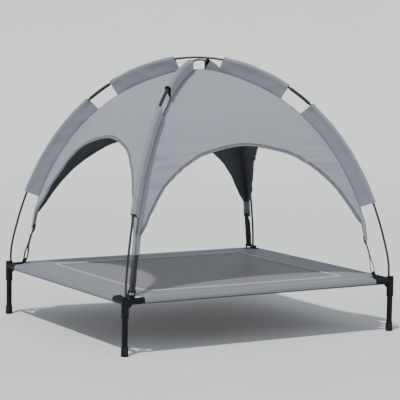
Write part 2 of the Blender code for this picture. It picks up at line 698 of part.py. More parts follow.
def make_hook(corner, material, parent, steps=9):
    """Moulded hook: a bar between two prongs for the strap, and a claw under the connector's anchor bar."""
    across = Vector((0, 1, 0))
    bar = Vector((HOOK_BAR[0], 0, HOOK_BAR[1]))
    anchor = Vector((HALF_DIAGONAL - ANCHOR_INSET, 0, ANCHOR_HEIGHT))
    up = (bar - anchor).normalized()
    side = Vector((up.z, 0, -up.x))
    inside = ANCHOR_RADIUS + HOOK_PLAY
    outside = inside + HOOK_THICKNESS
    turns = np.linspace(0, pi, steps)
    claw = [anchor + (-side * cos(a) - up * sin(a)) * inside for a in turns]
    lip = [claw[-1] + up * CLAW_LIP]
    back = [anchor + (side * cos(a) - up * sin(a)) * outside for a in turns]
    shank = [anchor - side * outside + up * SHANK_REACH, anchor - side * inside + up * SHANK_REACH]
    shape = plate_mesh(shank + claw + lip + back, HOOK_WIDTH, across)
    item = add_object("strap_hook_" + corner, *shape, material, parent)
    yoke = anchor + up * YOKE_PLACE
    half_gap = HOOK_PRONG_GAP / 2 + HOOK_PRONG_THICKNESS
    bridge = [
        yoke - side * outside - up * YOKE_DEPTH,
        yoke - up * YOKE_DEPTH,
        yoke + up * YOKE_RISE,
        yoke - side * outside + up * YOKE_RISE,
    ]
    boolean(item, plate_mesh(bridge, 2 * half_gap, across), "UNION")
    for sign in (-1, 1):
        middle = across * (sign * (HOOK_PRONG_GAP + HOOK_PRONG_THICKNESS) / 2)
        prong = [
            yoke - side * outside - up * (YOKE_DEPTH - YOKE_RISE / 2) + middle,
            yoke - up * (YOKE_DEPTH - YOKE_RISE / 2) + middle,
            bar + side * HOOK_BAR_RADIUS * PRONG_FLARE + middle,
            bar + (side + up) * HOOK_BAR_RADIUS * PRONG_CORNER + middle,
            bar + (up - side) * HOOK_BAR_RADIUS * PRONG_CORNER + middle,
            bar - side * HOOK_BAR_RADIUS * PRONG_FLARE + middle,
        ]
        boolean(item, plate_mesh(prong, HOOK_PRONG_THICKNESS, across), "UNION")
    reach = across * (HOOK_PRONG_GAP / 2 + CLAW_LIP)
    boolean(item, tube_mesh([bar - reach, bar + reach], side, HOOK_BAR_RADIUS, BAR_SIDES), "UNION")
    item.rotation_euler = (0, 0, corner_azimuth(corner))
    return item


# ---------------------------------------------------------------- assembly

def add_empty(name):
    empty = bpy.data.objects.new(name, None)
    bpy.context.scene.collection.objects.link(empty)
    return empty


def main():
    for item in list(bpy.data.objects):
        bpy.data.objects.remove(item)

    nylon = make_material("black_nylon", (0.012, 0.012, 0.013), 0.42)
    steel = make_material("black_powder_coat", (0.014, 0.014, 0.016), 0.38, 0.4)
    rubber = make_material("foot_rubber", (0.016, 0.016, 0.016), 0.8)
    mesh_cloth = make_material("sling_mesh", (0.27, 0.28, 0.30), 0.75)
    canopy_cloth = make_material("canopy_cloth", (0.32, 0.33, 0.36), 0.8)
    fibreglass = make_material("pole_fibreglass", (0.012, 0.013, 0.014), 0.35)
    ferrule_metal = make_material("ferrule_metal", (0.03, 0.03, 0.032), 0.35, 0.8)
    webbing = make_material("elastic_webbing", (0.02, 0.021, 0.023), 0.85)

    bed = add_empty("bed_frame")
    canopy = add_empty("canopy_assembly")

    for corner in CORNERS:
        make_foot(corner, rubber, bed)
        make_leg(corner, steel, bed)
        make_connector(corner, nylon, bed)
        make_hook(corner, nylon, bed)
        make_tab(corner, canopy_cloth, canopy)
        make_strap(corner, webbing, canopy)
    make_frame_tubes(steel, bed)
    make_sling(mesh_cloth, bed)

    make_poles(fibreglass, ferrule_metal, canopy)
    for start, end, lift in POLES.values():
        for corner in (start, end):
            azimuth = corner_azimuth(corner)
            for level, span, slants in (
                ("upper", UPPER_SLEEVE, UPPER_SLANTS),
                ("lower", LOWER_SLEEVE, LOWER_SLANTS),
            ):
                name = "pole_sleeve_" + level + "_" + corner
                make_sleeve(name, span, slants, lift, azimuth, canopy_cloth, canopy)
    half_x = LENGTH / 2
    half_y = WIDTH / 2
    make_panel("canopy_panel_front", ARCH_LONG, half_x, half_y, 0.0, canopy_cloth, canopy)
    make_panel("canopy_panel_back", ARCH_LONG, half_x, half_y, pi, canopy_cloth, canopy)
    make_panel("canopy_panel_right", ARCH_SHORT, half_y, half_x, pi / 2, canopy_cloth, canopy)
    make_panel("canopy_panel_left", ARCH_SHORT, half_y, half_x, -pi / 2, canopy_cloth, canopy)


main()
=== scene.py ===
"""Looks of the raised dog bed with canopy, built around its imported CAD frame.

Metres, +Z up, ground at Z = 0. X runs along the bed's long side and Y from its front to its back.
Points of a corner's pole, ridge, tab, strap and hook lie in the upright plane through the bed's
diagonal, as (distance from the middle, sideways, height).
"""
from math import atan2, cos, hypot, pi, radians, sin

import bmesh
import bpy
import numpy as np
from mathutils import Matrix, Vector


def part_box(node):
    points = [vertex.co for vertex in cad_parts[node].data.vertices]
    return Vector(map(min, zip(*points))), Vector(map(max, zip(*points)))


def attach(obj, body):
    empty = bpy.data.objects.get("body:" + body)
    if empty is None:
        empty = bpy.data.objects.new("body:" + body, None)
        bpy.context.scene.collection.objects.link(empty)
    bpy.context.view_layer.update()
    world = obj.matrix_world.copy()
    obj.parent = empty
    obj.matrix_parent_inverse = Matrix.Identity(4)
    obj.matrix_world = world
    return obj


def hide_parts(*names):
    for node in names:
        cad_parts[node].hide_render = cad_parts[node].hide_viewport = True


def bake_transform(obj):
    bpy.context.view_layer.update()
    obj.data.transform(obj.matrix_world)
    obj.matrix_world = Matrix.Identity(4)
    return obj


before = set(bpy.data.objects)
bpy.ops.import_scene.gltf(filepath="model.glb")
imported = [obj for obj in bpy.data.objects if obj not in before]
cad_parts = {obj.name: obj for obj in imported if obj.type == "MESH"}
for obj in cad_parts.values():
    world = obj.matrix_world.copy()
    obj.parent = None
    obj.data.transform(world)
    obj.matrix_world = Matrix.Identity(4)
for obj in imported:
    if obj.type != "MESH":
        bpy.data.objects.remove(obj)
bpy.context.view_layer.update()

# ---------------------------------------------------------------- sizes

CORNERS = {"front_left": (-1, -1), "front_right": (1, -1), "back_left": (-1, 1), "back_right": (1, 1)}
FOOT_LOW, FOOT_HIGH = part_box("foot_cap_back_right")
HALF_X = (FOOT_LOW.x + FOOT_HIGH.x) / 2
HALF_Y = (FOOT_LOW.y + FOOT_HIGH.y) / 2
HALF_DIAGONAL = hypot(HALF_X, HALF_Y)

LEG_RADIUS = 0.0084
LEG_BORE = 0.0072
LEG_SOCKET_TOP = 0.127
FOOT_RADIUS = 0.0106
FOOT_HEIGHT = 0.026
FOOT_FLOOR = 0.004
POST_RADIUS = 0.0105
POST_BOTTOM = 0.106
POST_TOP = 0.166
BARREL_RADIUS = 0.0094
BARREL_REACH = 0.054
BARREL_FLOOR = 0.018
GUSSET_REACH = 0.023
GUSSET_FOOT = 0.130
SOCKET_RADIUS = 0.0040
SOCKET_FLOOR = 0.132
CLEARANCE = 0.00035
TUBE_RADIUS = 0.0075
TUBE_BORE = 0.0065
TUBE_AXIS = 0.1515
HEM_RADIUS = 0.0086
HEM_UNDERLAP = 0.026
HEM_SEAM_INSET = 0.020         # the hem's row of stitches, in from the tube's axis
CORNER_CUT = 0.058
CORNER_STEP = 0.017
SLING_THICKNESS = 0.0010
SLING_SAG = 0.0055
SEAM_INSET_X = 0.118           # the sling's inner seam, in from the leg axes
SEAM_INSET_Y = 0.088
SLING_SEAM_WIDTH = 0.0028
SLING_SEAM_HEIGHT = 0.0027

POLE_INSET = 0.0048
POLE_FOOT = 0.134
POLE_LEAN = radians(11.5)
POLE_STIFFENING = 1.475
LEAN_ONSET = 0.085
ROD_RADIUS = 0.0033
FERRULE_RADIUS = 0.0050
FERRULE_LENGTH = 0.074
CROSSING_LIFT = 0.0036
POLES = {
    "pole_a": ("front_right", "back_left", CROSSING_LIFT),
    "pole_b": ("front_left", "back_right", -CROSSING_LIFT),
}

FLAP_WIDTH = 0.040
FLAP_NARROWING = 0.008
CHANNEL_RADIUS = 0.0080
SLEEVE_WALL = 0.0009
UPPER_SLEEVE = (0.075, 0.272)
LOWER_SLEEVE = (0.342, 0.535)
UPPER_SLANT = 0.013            # the seam side of a sleeve's upper end runs this much further up
LOWER_SLANT = 0.008
BULGE = 0.011                  # the taut cloth stands out this much over the arches
BULGE_HEIGHTS = (0.45, 0.52, 0.62, 0.77)  # where the bulge starts, is full, starts to fade and is gone
CLOTH_THICKNESS = 0.0009
BINDING_WIDTH = 0.0085
SEAM_TAPE_WIDTH = 0.0034

# Each arch's edge from the middle down to the corner tab: half span and height
ARCH_LONG = (
    (0.000, 0.561), (0.130, 0.540), (0.190, 0.515), (0.252, 0.475),
    (0.2965, 0.433), (0.3325, 0.385), (0.355, 0.350),
)
ARCH_SHORT = (
    (0.000, 0.573), (0.100, 0.555), (0.165, 0.524), (0.2165, 0.472),
    (0.264, 0.4065), (0.285, 0.365), (0.298, 0.350),
)
TAB_HALF_WIDTHS = (0.0150, 0.0130)
TAB_CREASE = ((0.5128, 0.323), (0.5183, 0.287), (0.5200, 0.272))

STRAP_WIDTH = 0.0180
STRAP_WIDTH_AT_BAR = 0.0145
STRAP_TOP = (0.5160, 0.272)
STRAP_THICKNESS = 0.0015
STRAP_SPLIT = (0.5268, 0.2300)
HOOK_BAR = (0.5406, 0.1735)
HOOK_BAR_RADIUS = 0.0032
HOOK_PRONG_GAP = 0.0165
HOOK_PRONG_THICKNESS = 0.0026
HOOK_WIDTH = 0.0060
HOOK_THICKNESS = 0.0036
ANCHOR_INSET = 0.0330
ANCHOR_HEIGHT = 0.1530
ANCHOR_RADIUS = 0.0030
ANCHOR_ENDS = (-0.0325, 0.0229)


# ---------------------------------------------------------------- points and paths

ACROSS = np.array([0.0, 1.0, 0.0])  # sideways in a corner's plane
UPWARDS = np.array([0.0, 0.0, 1.0])


def ease(value):
    value = np.clip(value, 0.0, 1.0)
    return value * value * (3 - 2 * value)


def unit(vectors):
    return vectors / np.linalg.norm(vectors, axis=-1, keepdims=True)


def lengths_along(points):
    """How far along a path each of its points lies."""
    return np.concatenate([[0.0], np.cumsum(np.linalg.norm(np.diff(points, axis=0), axis=1))])


def points_at(stops, lengths, values):
    """A path's points, or its normals, at these lengths along it."""
    return np.stack([np.interp(stops, lengths, values[:, k]) for k in range(3)], axis=-1)


# ---------------------------------------------------------------- the bent pole and the ridge

def bend_pole(steps=400):
    """Half a pole above its socket: share of its length, distance from the middle, height, lean."""
    share = np.linspace(0.0, 1.0, steps + 1)
    lean = POLE_LEAN * ease(share / LEAN_ONSET) + (pi / 2 - POLE_LEAN) * share ** POLE_STIFFENING
    middle = (lean[1:] + lean[:-1]) / 2
    inwards = np.concatenate([[0.0], np.cumsum(np.sin(middle))]) / steps
    upwards = np.concatenate([[0.0], np.cumsum(np.cos(middle))]) / steps
    start = HALF_DIAGONAL - POLE_INSET
    length = start / inwards[-1]
    return share, start - length * inwards, POST_TOP + length * upwards, lean


POLE_SHARE, POLE_RADIUS, POLE_HEIGHT, POLE_ANGLE = bend_pole()
POLE_LENGTH = float(np.sum(np.hypot(np.diff(POLE_RADIUS), np.diff(POLE_HEIGHT))))


def share_at(radius):
    return float(np.interp(-radius, -POLE_RADIUS, POLE_SHARE))


def pole_points(share, lift=0.0):
    """Pole axis at these shares of the half pole, as (distance from the middle, 0, height) rows."""
    share = np.atleast_1d(share)
    radius = np.interp(share, POLE_SHARE, POLE_RADIUS)
    height = np.interp(share, POLE_SHARE, POLE_HEIGHT) + lift * ease((share - 0.5) / 0.5)
    return np.stack([radius, 0 * radius, height], axis=-1)


def ridge_points(share):
    """The ridge seam beside the pole at these shares."""
    share = np.atleast_1d(share)
    angle = np.interp(share, POLE_SHARE, POLE_ANGLE)
    width = FLAP_WIDTH - FLAP_NARROWING * ease((share - 0.8) / 0.2)
    offset = np.stack([width * np.cos(angle), 0 * angle, width * np.sin(angle)], axis=-1)
    return pole_points(share) - offset


def ridge_line(steps=200):
    shares = np.linspace(1.0, share_at(LOWER_SLEEVE[1]), steps)
    points = np.vstack([ridge_points(shares), [TAB_CREASE[0][0], 0.0, TAB_CREASE[0][1]]])
    points[0, 0] = 0.0
    return points[:, [0, 2]]


RIDGE = ridge_line()
RIDGE_PLACE = lengths_along(RIDGE)


def corner_azimuth(corner):
    sign_x, sign_y = CORNERS[corner]
    return atan2(sign_y * HALF_Y, sign_x * HALF_X)


def leg_axis(corner):
    sign_x, sign_y = CORNERS[corner]
    return Vector((sign_x * HALF_X, sign_y * HALF_Y, 0.0))


def turn_about_z(points, azimuth):
    """Points of a corner's plane, or of the front, turned into place."""
    points = np.asarray(points, float)
    turned = points.copy()
    turned[..., 0] = points[..., 0] * cos(azimuth) - points[..., 1] * sin(azimuth)
    turned[..., 1] = points[..., 0] * sin(azimuth) + points[..., 1] * cos(azimuth)
    return turned


# ---------------------------------------------------------------- mesh helpers

def new_object(name, data):
    item = bpy.data.objects.new(name, data)
    bpy.context.scene.collection.objects.link(item)
    return item


def smooth_mesh(name, vertices, faces, material):
    mesh = bpy.data.meshes.new(name)
    mesh.from_pydata([tuple(v) for v in vertices], [], faces)
    mesh.materials.append(material)
    mesh.shade_smooth()
    return mesh


def finish_mesh(name, vertices, faces, corners_uv, materials, slots=None, closed=True, angle=40):
    """An object from points and faces, with a UV map in metres and its faces turned outwards."""
    mesh = bpy.data.meshes.new(name)
    mesh.from_pydata([tuple(v) for v in vertices], [], faces)
    if corners_uv is not None:
        layer = mesh.uv_layers.new(name="metres")
        layer.data.foreach_set("uv", np.asarray(corners_uv, np.float32).ravel())
    for material in materials:
        mesh.materials.append(material)
    if slots is not None:
        mesh.polygons.foreach_set("material_index", np.asarray(slots, np.int32))
    work = bmesh.new()
    work.from_mesh(mesh)
    bmesh.ops.remove_doubles(work, verts=work.verts, dist=1e-7)
    bmesh.ops.dissolve_degenerate(work, edges=work.edges, dist=1e-8)
    if closed:
        bmesh.ops.recalc_face_normals(work, faces=work.faces)
    work.to_mesh(mesh)
    work.free()
    mesh.shade_smooth()
    mesh.set_sharp_from_angle(angle=radians(angle))
    return new_object(name, mesh)


def loft(name, loops, materials, ring=False, angle=40, slot_rows=None, slot_columns=None):
    """A closed surface through loops of points, with end caps unless ring joins its last loop to its first.

    slot_rows gives the material number of each row of faces between two loops, slot_columns that of each
    column of faces along the loops.
    """
    loops = np.asarray(loops, float)
    count, points, _ = loops.shape
    wrapped = np.concatenate([loops, loops[:, :1]], axis=1)
    around = np.linalg.norm(np.diff(wrapped, axis=1), axis=2)
    around = np.concatenate([np.zeros((count, 1)), np.cumsum(around, axis=1)], axis=1)
    follow = np.concatenate([loops, loops[:1]], axis=0) if ring else loops
    along = np.linalg.norm(np.diff(follow, axis=0), axis=2).mean(axis=1)
    along = np.concatenate([[0.0], np.cumsum(along)])
    faces = []
    uvs = []
    slots = []
    for s in range(len(follow) - 1):
        after = (s + 1) % count
        for p in range(points):
            q = (p + 1) % points
            faces.append((s * points + p, s * points + q, after * points + q, after * points + p))
            uvs += [
                (around[s, p], along[s]), (around[s, p + 1], along[s]),
                (around[after, p + 1], along[s + 1]), (around[after, p], along[s + 1]),
            ]
            slots.append(slot_columns[p] if slot_columns else slot_rows[s] if slot_rows else 0)
    if not ring:
        for s in (0, count - 1):
            faces.append(tuple(range(s * points, (s + 1) * points)))
            middle = loops[s].mean(axis=0)
            uvs += [tuple((loops[s, p] - middle)[:2]) for p in range(points)]
            slots.append(slot_rows[min(s, len(slot_rows) - 1)] if slot_rows else 0)
    return finish_mesh(name, loops.reshape(-1, 3), faces, uvs, materials, slots, angle=angle)


def circle_loop(centre, out, side, radius, sides):
    angles = 2 * pi * np.arange(sides) / sides
    return centre + radius * (np.cos(angles)[:, None] * out + np.sin(angles)[:, None] * side)


def level_circle(centre, radius, sides):
    return circle_loop(centre, np.array([1.0, 0.0, 0.0]), ACROSS, radius, sides)


def path_frames(path, side):
    """Unit vectors along and out from a plane path, with side across the plane."""
    along = unit(np.gradient(path, axis=0))
    return along, unit(np.cross(side, along))


def rod(name, path, side, radius, material, sides=32, round_end=0.0006, bore=None):
    """A rod, or a tube with a bore, along a plane path. Its ends are rounded off."""
    path = np.asarray(path, float)
    side = np.asarray(side, float)
    along, out = path_frames(path, side)
    rounding = [(1 - sin(a), 1 - cos(a)) for a in np.linspace(0, pi / 2, 4)]
    start = [(path[0] + along[0] * round_end * s, out[0], radius - round_end * c) for s, c in rounding]
    end = [(path[-1] - along[-1] * round_end * s, out[-1], radius - round_end * c) for s, c in rounding]
    middle = [(path[k], out[k], radius) for k in range(1, len(path) - 1)]
    loops = [circle_loop(centre, outward, side, size, sides)
             for centre, outward, size in start[::-1] + middle + end]
    if bore is None:
        return loft(name, loops, [material])
    inner = [circle_loop(path[k], out[k], side, bore, sides) for k in range(len(path))]
    return loft(name, loops + inner[::-1], [material], ring=True)


def turned(name, profile, place, material, sides=48):
    """A solid of revolution about an upright axis. profile runs from the axis round to the axis."""
    loops = [level_circle(np.asarray(place) + UPWARDS * height, max(radius, 1e-5), sides)
             for radius, height in profile]
    return loft(name, loops, [material])


def drum_faces(count):
    """Faces of a closed shape between two outlines of the same count."""
    faces = [tuple(range(count)), tuple(range(2 * count - 1, count - 1, -1))]
    return faces + [(i, i + count, (i + 1) % count + count, (i + 1) % count) for i in range(count)]


def prism(outline, normal, thickness):
    """Vertices and faces of a flat plate, for joining by remeshing."""
    count = len(outline)
    shift = np.asarray(normal, float) * thickness / 2
    vertices = [np.asarray(p, float) + way * shift for way in (-1, 1) for p in outline]
    return vertices, drum_faces(count)


def solid_rod(start, end, side, radius, sides=40):
    """Vertices and faces of a plain cylinder."""
    start, end, side = (np.asarray(v, float) for v in (start, end, side))
    out = np.cross(side, unit(end - start))
    vertices = [point for centre in (start, end) for point in circle_loop(centre, out, side, radius, sides)]
    return vertices, drum_faces(sides)


def join_shapes(shapes):
    """Vertices and faces of several shapes in one list each."""
    vertices = []
    faces = []
    for points, sides in shapes:
        faces += [tuple(i + len(vertices) for i in face) for face in sides]
        vertices += list(points)
    return vertices, faces


def plain_mesh(name, shapes):
    return finish_mesh(name, *join_shapes(shapes), None, [])


def apply_modifiers(item):
    bpy.context.view_layer.update()
    graph = bpy.context.evaluated_depsgraph_get()
    result = bpy.data.meshes.new_from_object(item.evaluated_get(graph))
    item.modifiers.clear()
    old = item.data
    item.data = result
    bpy.data.meshes.remove(old)


def moulded(name, shapes, cuts, voxel, rounding, material):
    """Shapes melted into one body with soft inside corners, and then bored out by the cuts."""
    item = plain_mesh(name, shapes)
    remesh = item.modifiers.new("melt", "REMESH")
    remesh.mode = "VOXEL"
    remesh.voxel_size = voxel
    smooth = item.modifiers.new("soften", "SMOOTH")
    smooth.factor = 0.5
    smooth.iterations = rounding
    apply_modifiers(item)
    for cut in cuts:
        tool = plain_mesh("tool", [cut])
        boolean = item.modifiers.new("bore", "BOOLEAN")
        boolean.operation = "DIFFERENCE"
        boolean.solver = "EXACT"
        boolean.object = tool
        apply_modifiers(item)
        bpy.data.objects.remove(tool)
    item.data.materials.clear()
    item.data.materials.append(material)
    item.data.shade_smooth()
    item.data.set_sharp_from_angle(angle=radians(50))
    return item


# ---------------------------------------------------------------- materials

BLACK = (0.0075, 0.0075, 0.0085)
SCUFFED = (0.13, 0.13, 0.13, 1)
CANOPY_COLOUR = (0.322, 0.337, 0.382)
CANOPY_DARK = (0.250, 0.262, 0.298)
CANOPY_PITCH = 0.0011
# painted shade: the sleeves' cloth is the canopy cloth darkened by this factor
SLEEVE_PAINTED_SHADE = 0.82
SLING_BORDER = (0.238, 0.254, 0.282)
SLING_MIDDLE = (0.216, 0.222, 0.236)
SLING_GAPS = (0.075, 0.078, 0.084)
# painted shade: near-black on the sling's cloth where it turns under the hems
SLING_UNDERSIDE_PAINTED_SHADE = (0.035, 0.037, 0.040)
SLING_PAINTED_SHADE_FROM = 2.1          # radians round the hem where the painted shade on its underside starts
SLING_PITCH = 0.0021


def new_material(name, roughness, metallic=0.0, sheen=0.0, specular=0.5):
    material = bpy.data.materials.new(name)
    material.use_nodes = True
    shader = material.node_tree.nodes["Principled BSDF"]
    shader.inputs["Roughness"].default_value = roughness
    shader.inputs["Metallic"].default_value = metallic
    shader.inputs["Sheen Weight"].default_value = sheen
    shader.inputs["Sheen Roughness"].default_value = 0.5
    shader.inputs["Specular IOR Level"].default_value = specular
    return material, material.node_tree, shader


def add_node(tree, kind, **inputs):
    """A shader node with its inputs set: a linked socket, or a plain value."""
    made = tree.nodes.new(kind)
    for key, value in inputs.items():
        socket = made.inputs[int(key[1:])] if key[0] == "i" and key[1:].isdigit() else made.inputs[key]
        if isinstance(value, bpy.types.NodeSocket):
            tree.links.new(value, socket)
        else:
            socket.default_value = value
    return made


def math_node(tree, operation, first, second=0.0, third=0.5):
    made = add_node(tree, "ShaderNodeMath", i0=first, i1=second, i2=third)
    made.operation = operation
    return made.outputs[0]


def noise(tree, vector, scale, detail=3.0):
    made = add_node(tree, "ShaderNodeTexNoise", Vector=vector, Scale=scale, Detail=detail, Roughness=0.55)
    return made.outputs["Fac"]


def tint(colour, factor=1.0):
    """A darker or lighter shade of a colour, as a shader socket takes it."""
    return (*[c * factor for c in colour], 1)


def surface_places(tree):
    """The UV map, in metres, and the point in the object's own space."""
    uv = add_node(tree, "ShaderNodeUVMap").outputs[0]
    return uv, add_node(tree, "ShaderNodeTexCoord").outputs["Object"]


def mix_colours(tree, share, first, second):
    made = tree.nodes.new("ShaderNodeMix")
    made.data_type = "RGBA"
    for socket, value in ((made.inputs[0], share), (made.inputs[6], first), (made.inputs[7], second)):
        if isinstance(value, bpy.types.NodeSocket):
            tree.links.new(value, socket)
        else:
            socket.default_value = value
    return made.outputs[2]


def stretch(tree, value, low, high, to_low=0.0, to_high=1.0):
    made = tree.nodes.new("ShaderNodeMapRange")
    tree.links.new(value, made.inputs[0])
    for number, amount in enumerate((low, high, to_low, to_high)):
        made.inputs[number + 1].default_value = amount
    return made.outputs[0]


def bump(tree, shader, height, distance, strength=1.0, after=None):
    made = add_node(tree, "ShaderNodeBump", Height=height, Distance=distance, Strength=strength)
    if after is not None:
        tree.links.new(after, made.inputs["Normal"])
    tree.links.new(made.outputs[0], shader.inputs["Normal"])
    return made.outputs[0]


def thread_waves(tree, vector, pitch_u, pitch_v):
    """Heights of the warp and of the weft of a plain weave, each from 0 to 1."""
    parts = add_node(tree, "ShaderNodeSeparateXYZ", Vector=vector)
    heights = []
    for axis, pitch in ((0, pitch_u), (1, pitch_v)):
        turn = math_node(tree, "MULTIPLY", parts.outputs[axis], 2 * pi / pitch)
        heights.append(math_node(tree, "MULTIPLY_ADD", math_node(tree, "SINE", turn), 0.5, 0.5))
    return heights


def cloth(name, colour, dark, pitch, roughness=0.82, sheen=0.25, mottle=0.06, bump_depth=0.00012):
    """Woven cloth: two sets of threads, slubs, and faint soiling in broad patches."""
    material, tree, shader = new_material(name, roughness, sheen=sheen, specular=0.25)
    uv, place = surface_places(tree)
    warp, weft = thread_waves(tree, uv, pitch, pitch)
    weave = math_node(tree, "MULTIPLY", warp, weft)
    slub = noise(tree, place, 900.0, 2.0)
    patches = noise(tree, place, 7.0, 4.0)
    base = mix_colours(tree, stretch(tree, weave, 0.0, 0.8), tint(dark), tint(colour))
    speckled = mix_colours(tree, stretch(tree, slub, 0.35, 0.65, 0.0, 0.22), base, tint(colour, 1.35))
    soiling = stretch(tree, patches, 0.35, 0.7, 0.0, mottle * 4)
    shade = mix_colours(tree, soiling, speckled, tint(colour, 1 - 2.2 * mottle))
    tree.links.new(shade, shader.inputs["Base Color"])
    fine = bump(tree, shader, weave, bump_depth, 0.6)
    bump(tree, shader, noise(tree, place, 60.0, 3.0), 0.0009, 0.25, after=fine)
    return material


def moulded_plastic(name, colour, roughness, grain=0.00005, wear=0.25):
    """Plastic or coated metal with a fine grain, uneven gloss and paler scuffed edges."""
    material, tree, shader = new_material(name, roughness, specular=0.12)
    place = add_node(tree, "ShaderNodeTexCoord").outputs["Object"]
    fine = noise(tree, place, 1800.0, 2.0)
    broad = noise(tree, place, 35.0, 4.0)
    edges = add_node(tree, "ShaderNodeNewGeometry").outputs["Pointiness"]
    worn = math_node(tree, "MULTIPLY", stretch(tree, edges, 0.52, 0.60), stretch(tree, broad, 0.40, 0.62))
    worn = math_node(tree, "MULTIPLY", worn, wear)
    dusty = mix_colours(tree, stretch(tree, broad, 0.35, 0.7, 0.0, 0.5), tint(colour), tint(colour, 1.9))
    tree.links.new(mix_colours(tree, worn, dusty, SCUFFED), shader.inputs["Base Color"])
    uneven = stretch(tree, broad, 0.3, 0.7, roughness - 0.07, roughness + 0.10)
    tree.links.new(uneven, shader.inputs["Roughness"])
    bump(tree, shader, fine, grain, 0.5)
    return material


def streaked(name, colour, roughness, metallic=0.0):
    """A drawn or wrapped rod: streaks along it, from the UV map's second axis."""
    material, tree, shader = new_material(name, roughness, metallic)
    uv, place = surface_places(tree)
    long_way = add_node(tree, "ShaderNodeMapping", Vector=uv, Scale=(900.0, 14.0, 1.0)).outputs[0]
    streaks = noise(tree, long_way, 1.0, 3.0)
    broad = noise(tree, place, 22.0, 3.0)
    tone = mix_colours(tree, stretch(tree, streaks, 0.3, 0.75), tint(colour), tint(colour, 2.2))
    tree.links.new(tone, shader.inputs["Base Color"])
    uneven = stretch(tree, broad, 0.3, 0.7, roughness - 0.08, roughness + 0.1)
    tree.links.new(uneven, shader.inputs["Roughness"])
    bump(tree, shader, streaks, 0.00004, 0.5)
    return material


def ribbed_webbing(name, colour, rib=0.0016):
    """Elastic webbing: cords along it and close ribs across it, from the UV map in metres."""
    material, tree, shader = new_material(name, 0.78, sheen=0.3, specular=0.3)
    uv, place = surface_places(tree)
    cords, ribs = thread_waves(tree, uv, rib * 1.1, rib * 0.6)
    height = math_node(tree, "MULTIPLY_ADD", ribs, 0.45, cords)
    fuzz = noise(tree, place, 1500.0, 2.0)
    tone = mix_colours(tree, stretch(tree, height, 0.1, 1.3), tint(colour, 0.45), tint(colour))
    tone = mix_colours(tree, stretch(tree, fuzz, 0.4, 0.7, 0.0, 0.35), tone, tint(colour, 1.8))
    tree.links.new(tone, shader.inputs["Base Color"])
    bump(tree, shader, height, 0.0003, 0.8)
    return material


def thread(name, colour):
    material, tree, shader = new_material(name, 0.6, sheen=0.2, specular=0.4)
    place = add_node(tree, "ShaderNodeTexCoord").outputs["Object"]
    twist = noise(tree, place, 2500.0, 1.0)
    tone = mix_colours(tree, twist, tint(colour, 0.7), tint(colour, 1.15))
    tree.links.new(tone, shader.inputs["Base Color"])
    return material


def sling_cloth():
    """Coated mesh: round yarns with small dark gaps, a greyer middle, and painted shade on the hems'
    undersides.
    """
    material, tree, shader = new_material("sling_mesh", 0.55, sheen=0.1, specular=0.35)
    uv, place = surface_places(tree)
    warp, weft = thread_waves(tree, uv, SLING_PITCH, SLING_PITCH)
    yarn = math_node(tree, "MAXIMUM", warp, weft)
    gaps = stretch(tree, yarn, 0.22, 0.55)
    patches = noise(tree, place, 5.0, 4.0)
    long_way = add_node(tree, "ShaderNodeMapping", Vector=uv, Scale=(4.0, 420.0, 1.0)).outputs[0]
    yarns = noise(tree, long_way, 1.0, 2.0)
    parts = add_node(tree, "ShaderNodeSeparateXYZ", Vector=uv)
    from_middle = [math_node(tree, "ABSOLUTE", parts.outputs[axis]) for axis in (0, 1)]
    seams = (HALF_X - SEAM_INSET_X, HALF_Y - SEAM_INSET_Y)
    inner = math_node(tree, "MULTIPLY", *[
        math_node(tree, "LESS_THAN", distance, seam) for distance, seam in zip(from_middle, seams)])
    light = mix_colours(tree, inner, tint(SLING_BORDER), tint(SLING_MIDDLE))
    shaded = mix_colours(tree, inner, tint(SLING_BORDER, 0.80), tint(SLING_MIDDLE, 0.80))
    tone = mix_colours(tree, stretch(tree, yarns, 0.35, 0.65), shaded, light)
    tone = mix_colours(tree, stretch(tree, patches, 0.4, 0.7, 0.0, 0.20), tone, shaded)
    tone = mix_colours(tree, gaps, tint(SLING_GAPS), tone)
    # painted shade where the cloth faces down under the hems
    painted_shade_below = math_node(tree, "MAXIMUM", *[
        math_node(tree, "GREATER_THAN", distance, half + HEM_RADIUS * SLING_PAINTED_SHADE_FROM)
        for distance, half in zip(from_middle, (HALF_X, HALF_Y))])
    tree.links.new(mix_colours(tree, painted_shade_below, tone, tint(SLING_UNDERSIDE_PAINTED_SHADE)), shader.inputs["Base Color"])
    fine = bump(tree, shader, yarn, 0.0003, 0.7)
    bump(tree, shader, noise(tree, place, 40.0, 3.0), 0.0008, 0.25, after=fine)
    return material


canopy_cloth = cloth("canopy_cloth", CANOPY_COLOUR, CANOPY_DARK, CANOPY_PITCH)
# painted shade: a darker copy of the canopy cloth for the sleeves
painted_shade_sleeve_tones = [tint(colour, SLEEVE_PAINTED_SHADE)[:3] for colour in (CANOPY_COLOUR, CANOPY_DARK)]
painted_shade_sleeve_cloth = cloth("painted_shade_sleeve_cloth", *painted_shade_sleeve_tones, CANOPY_PITCH)
lining_cloth = cloth("canopy_lining", (0.088, 0.096, 0.114), (0.058, 0.064, 0.078), CANOPY_PITCH, 0.6, 0.1)
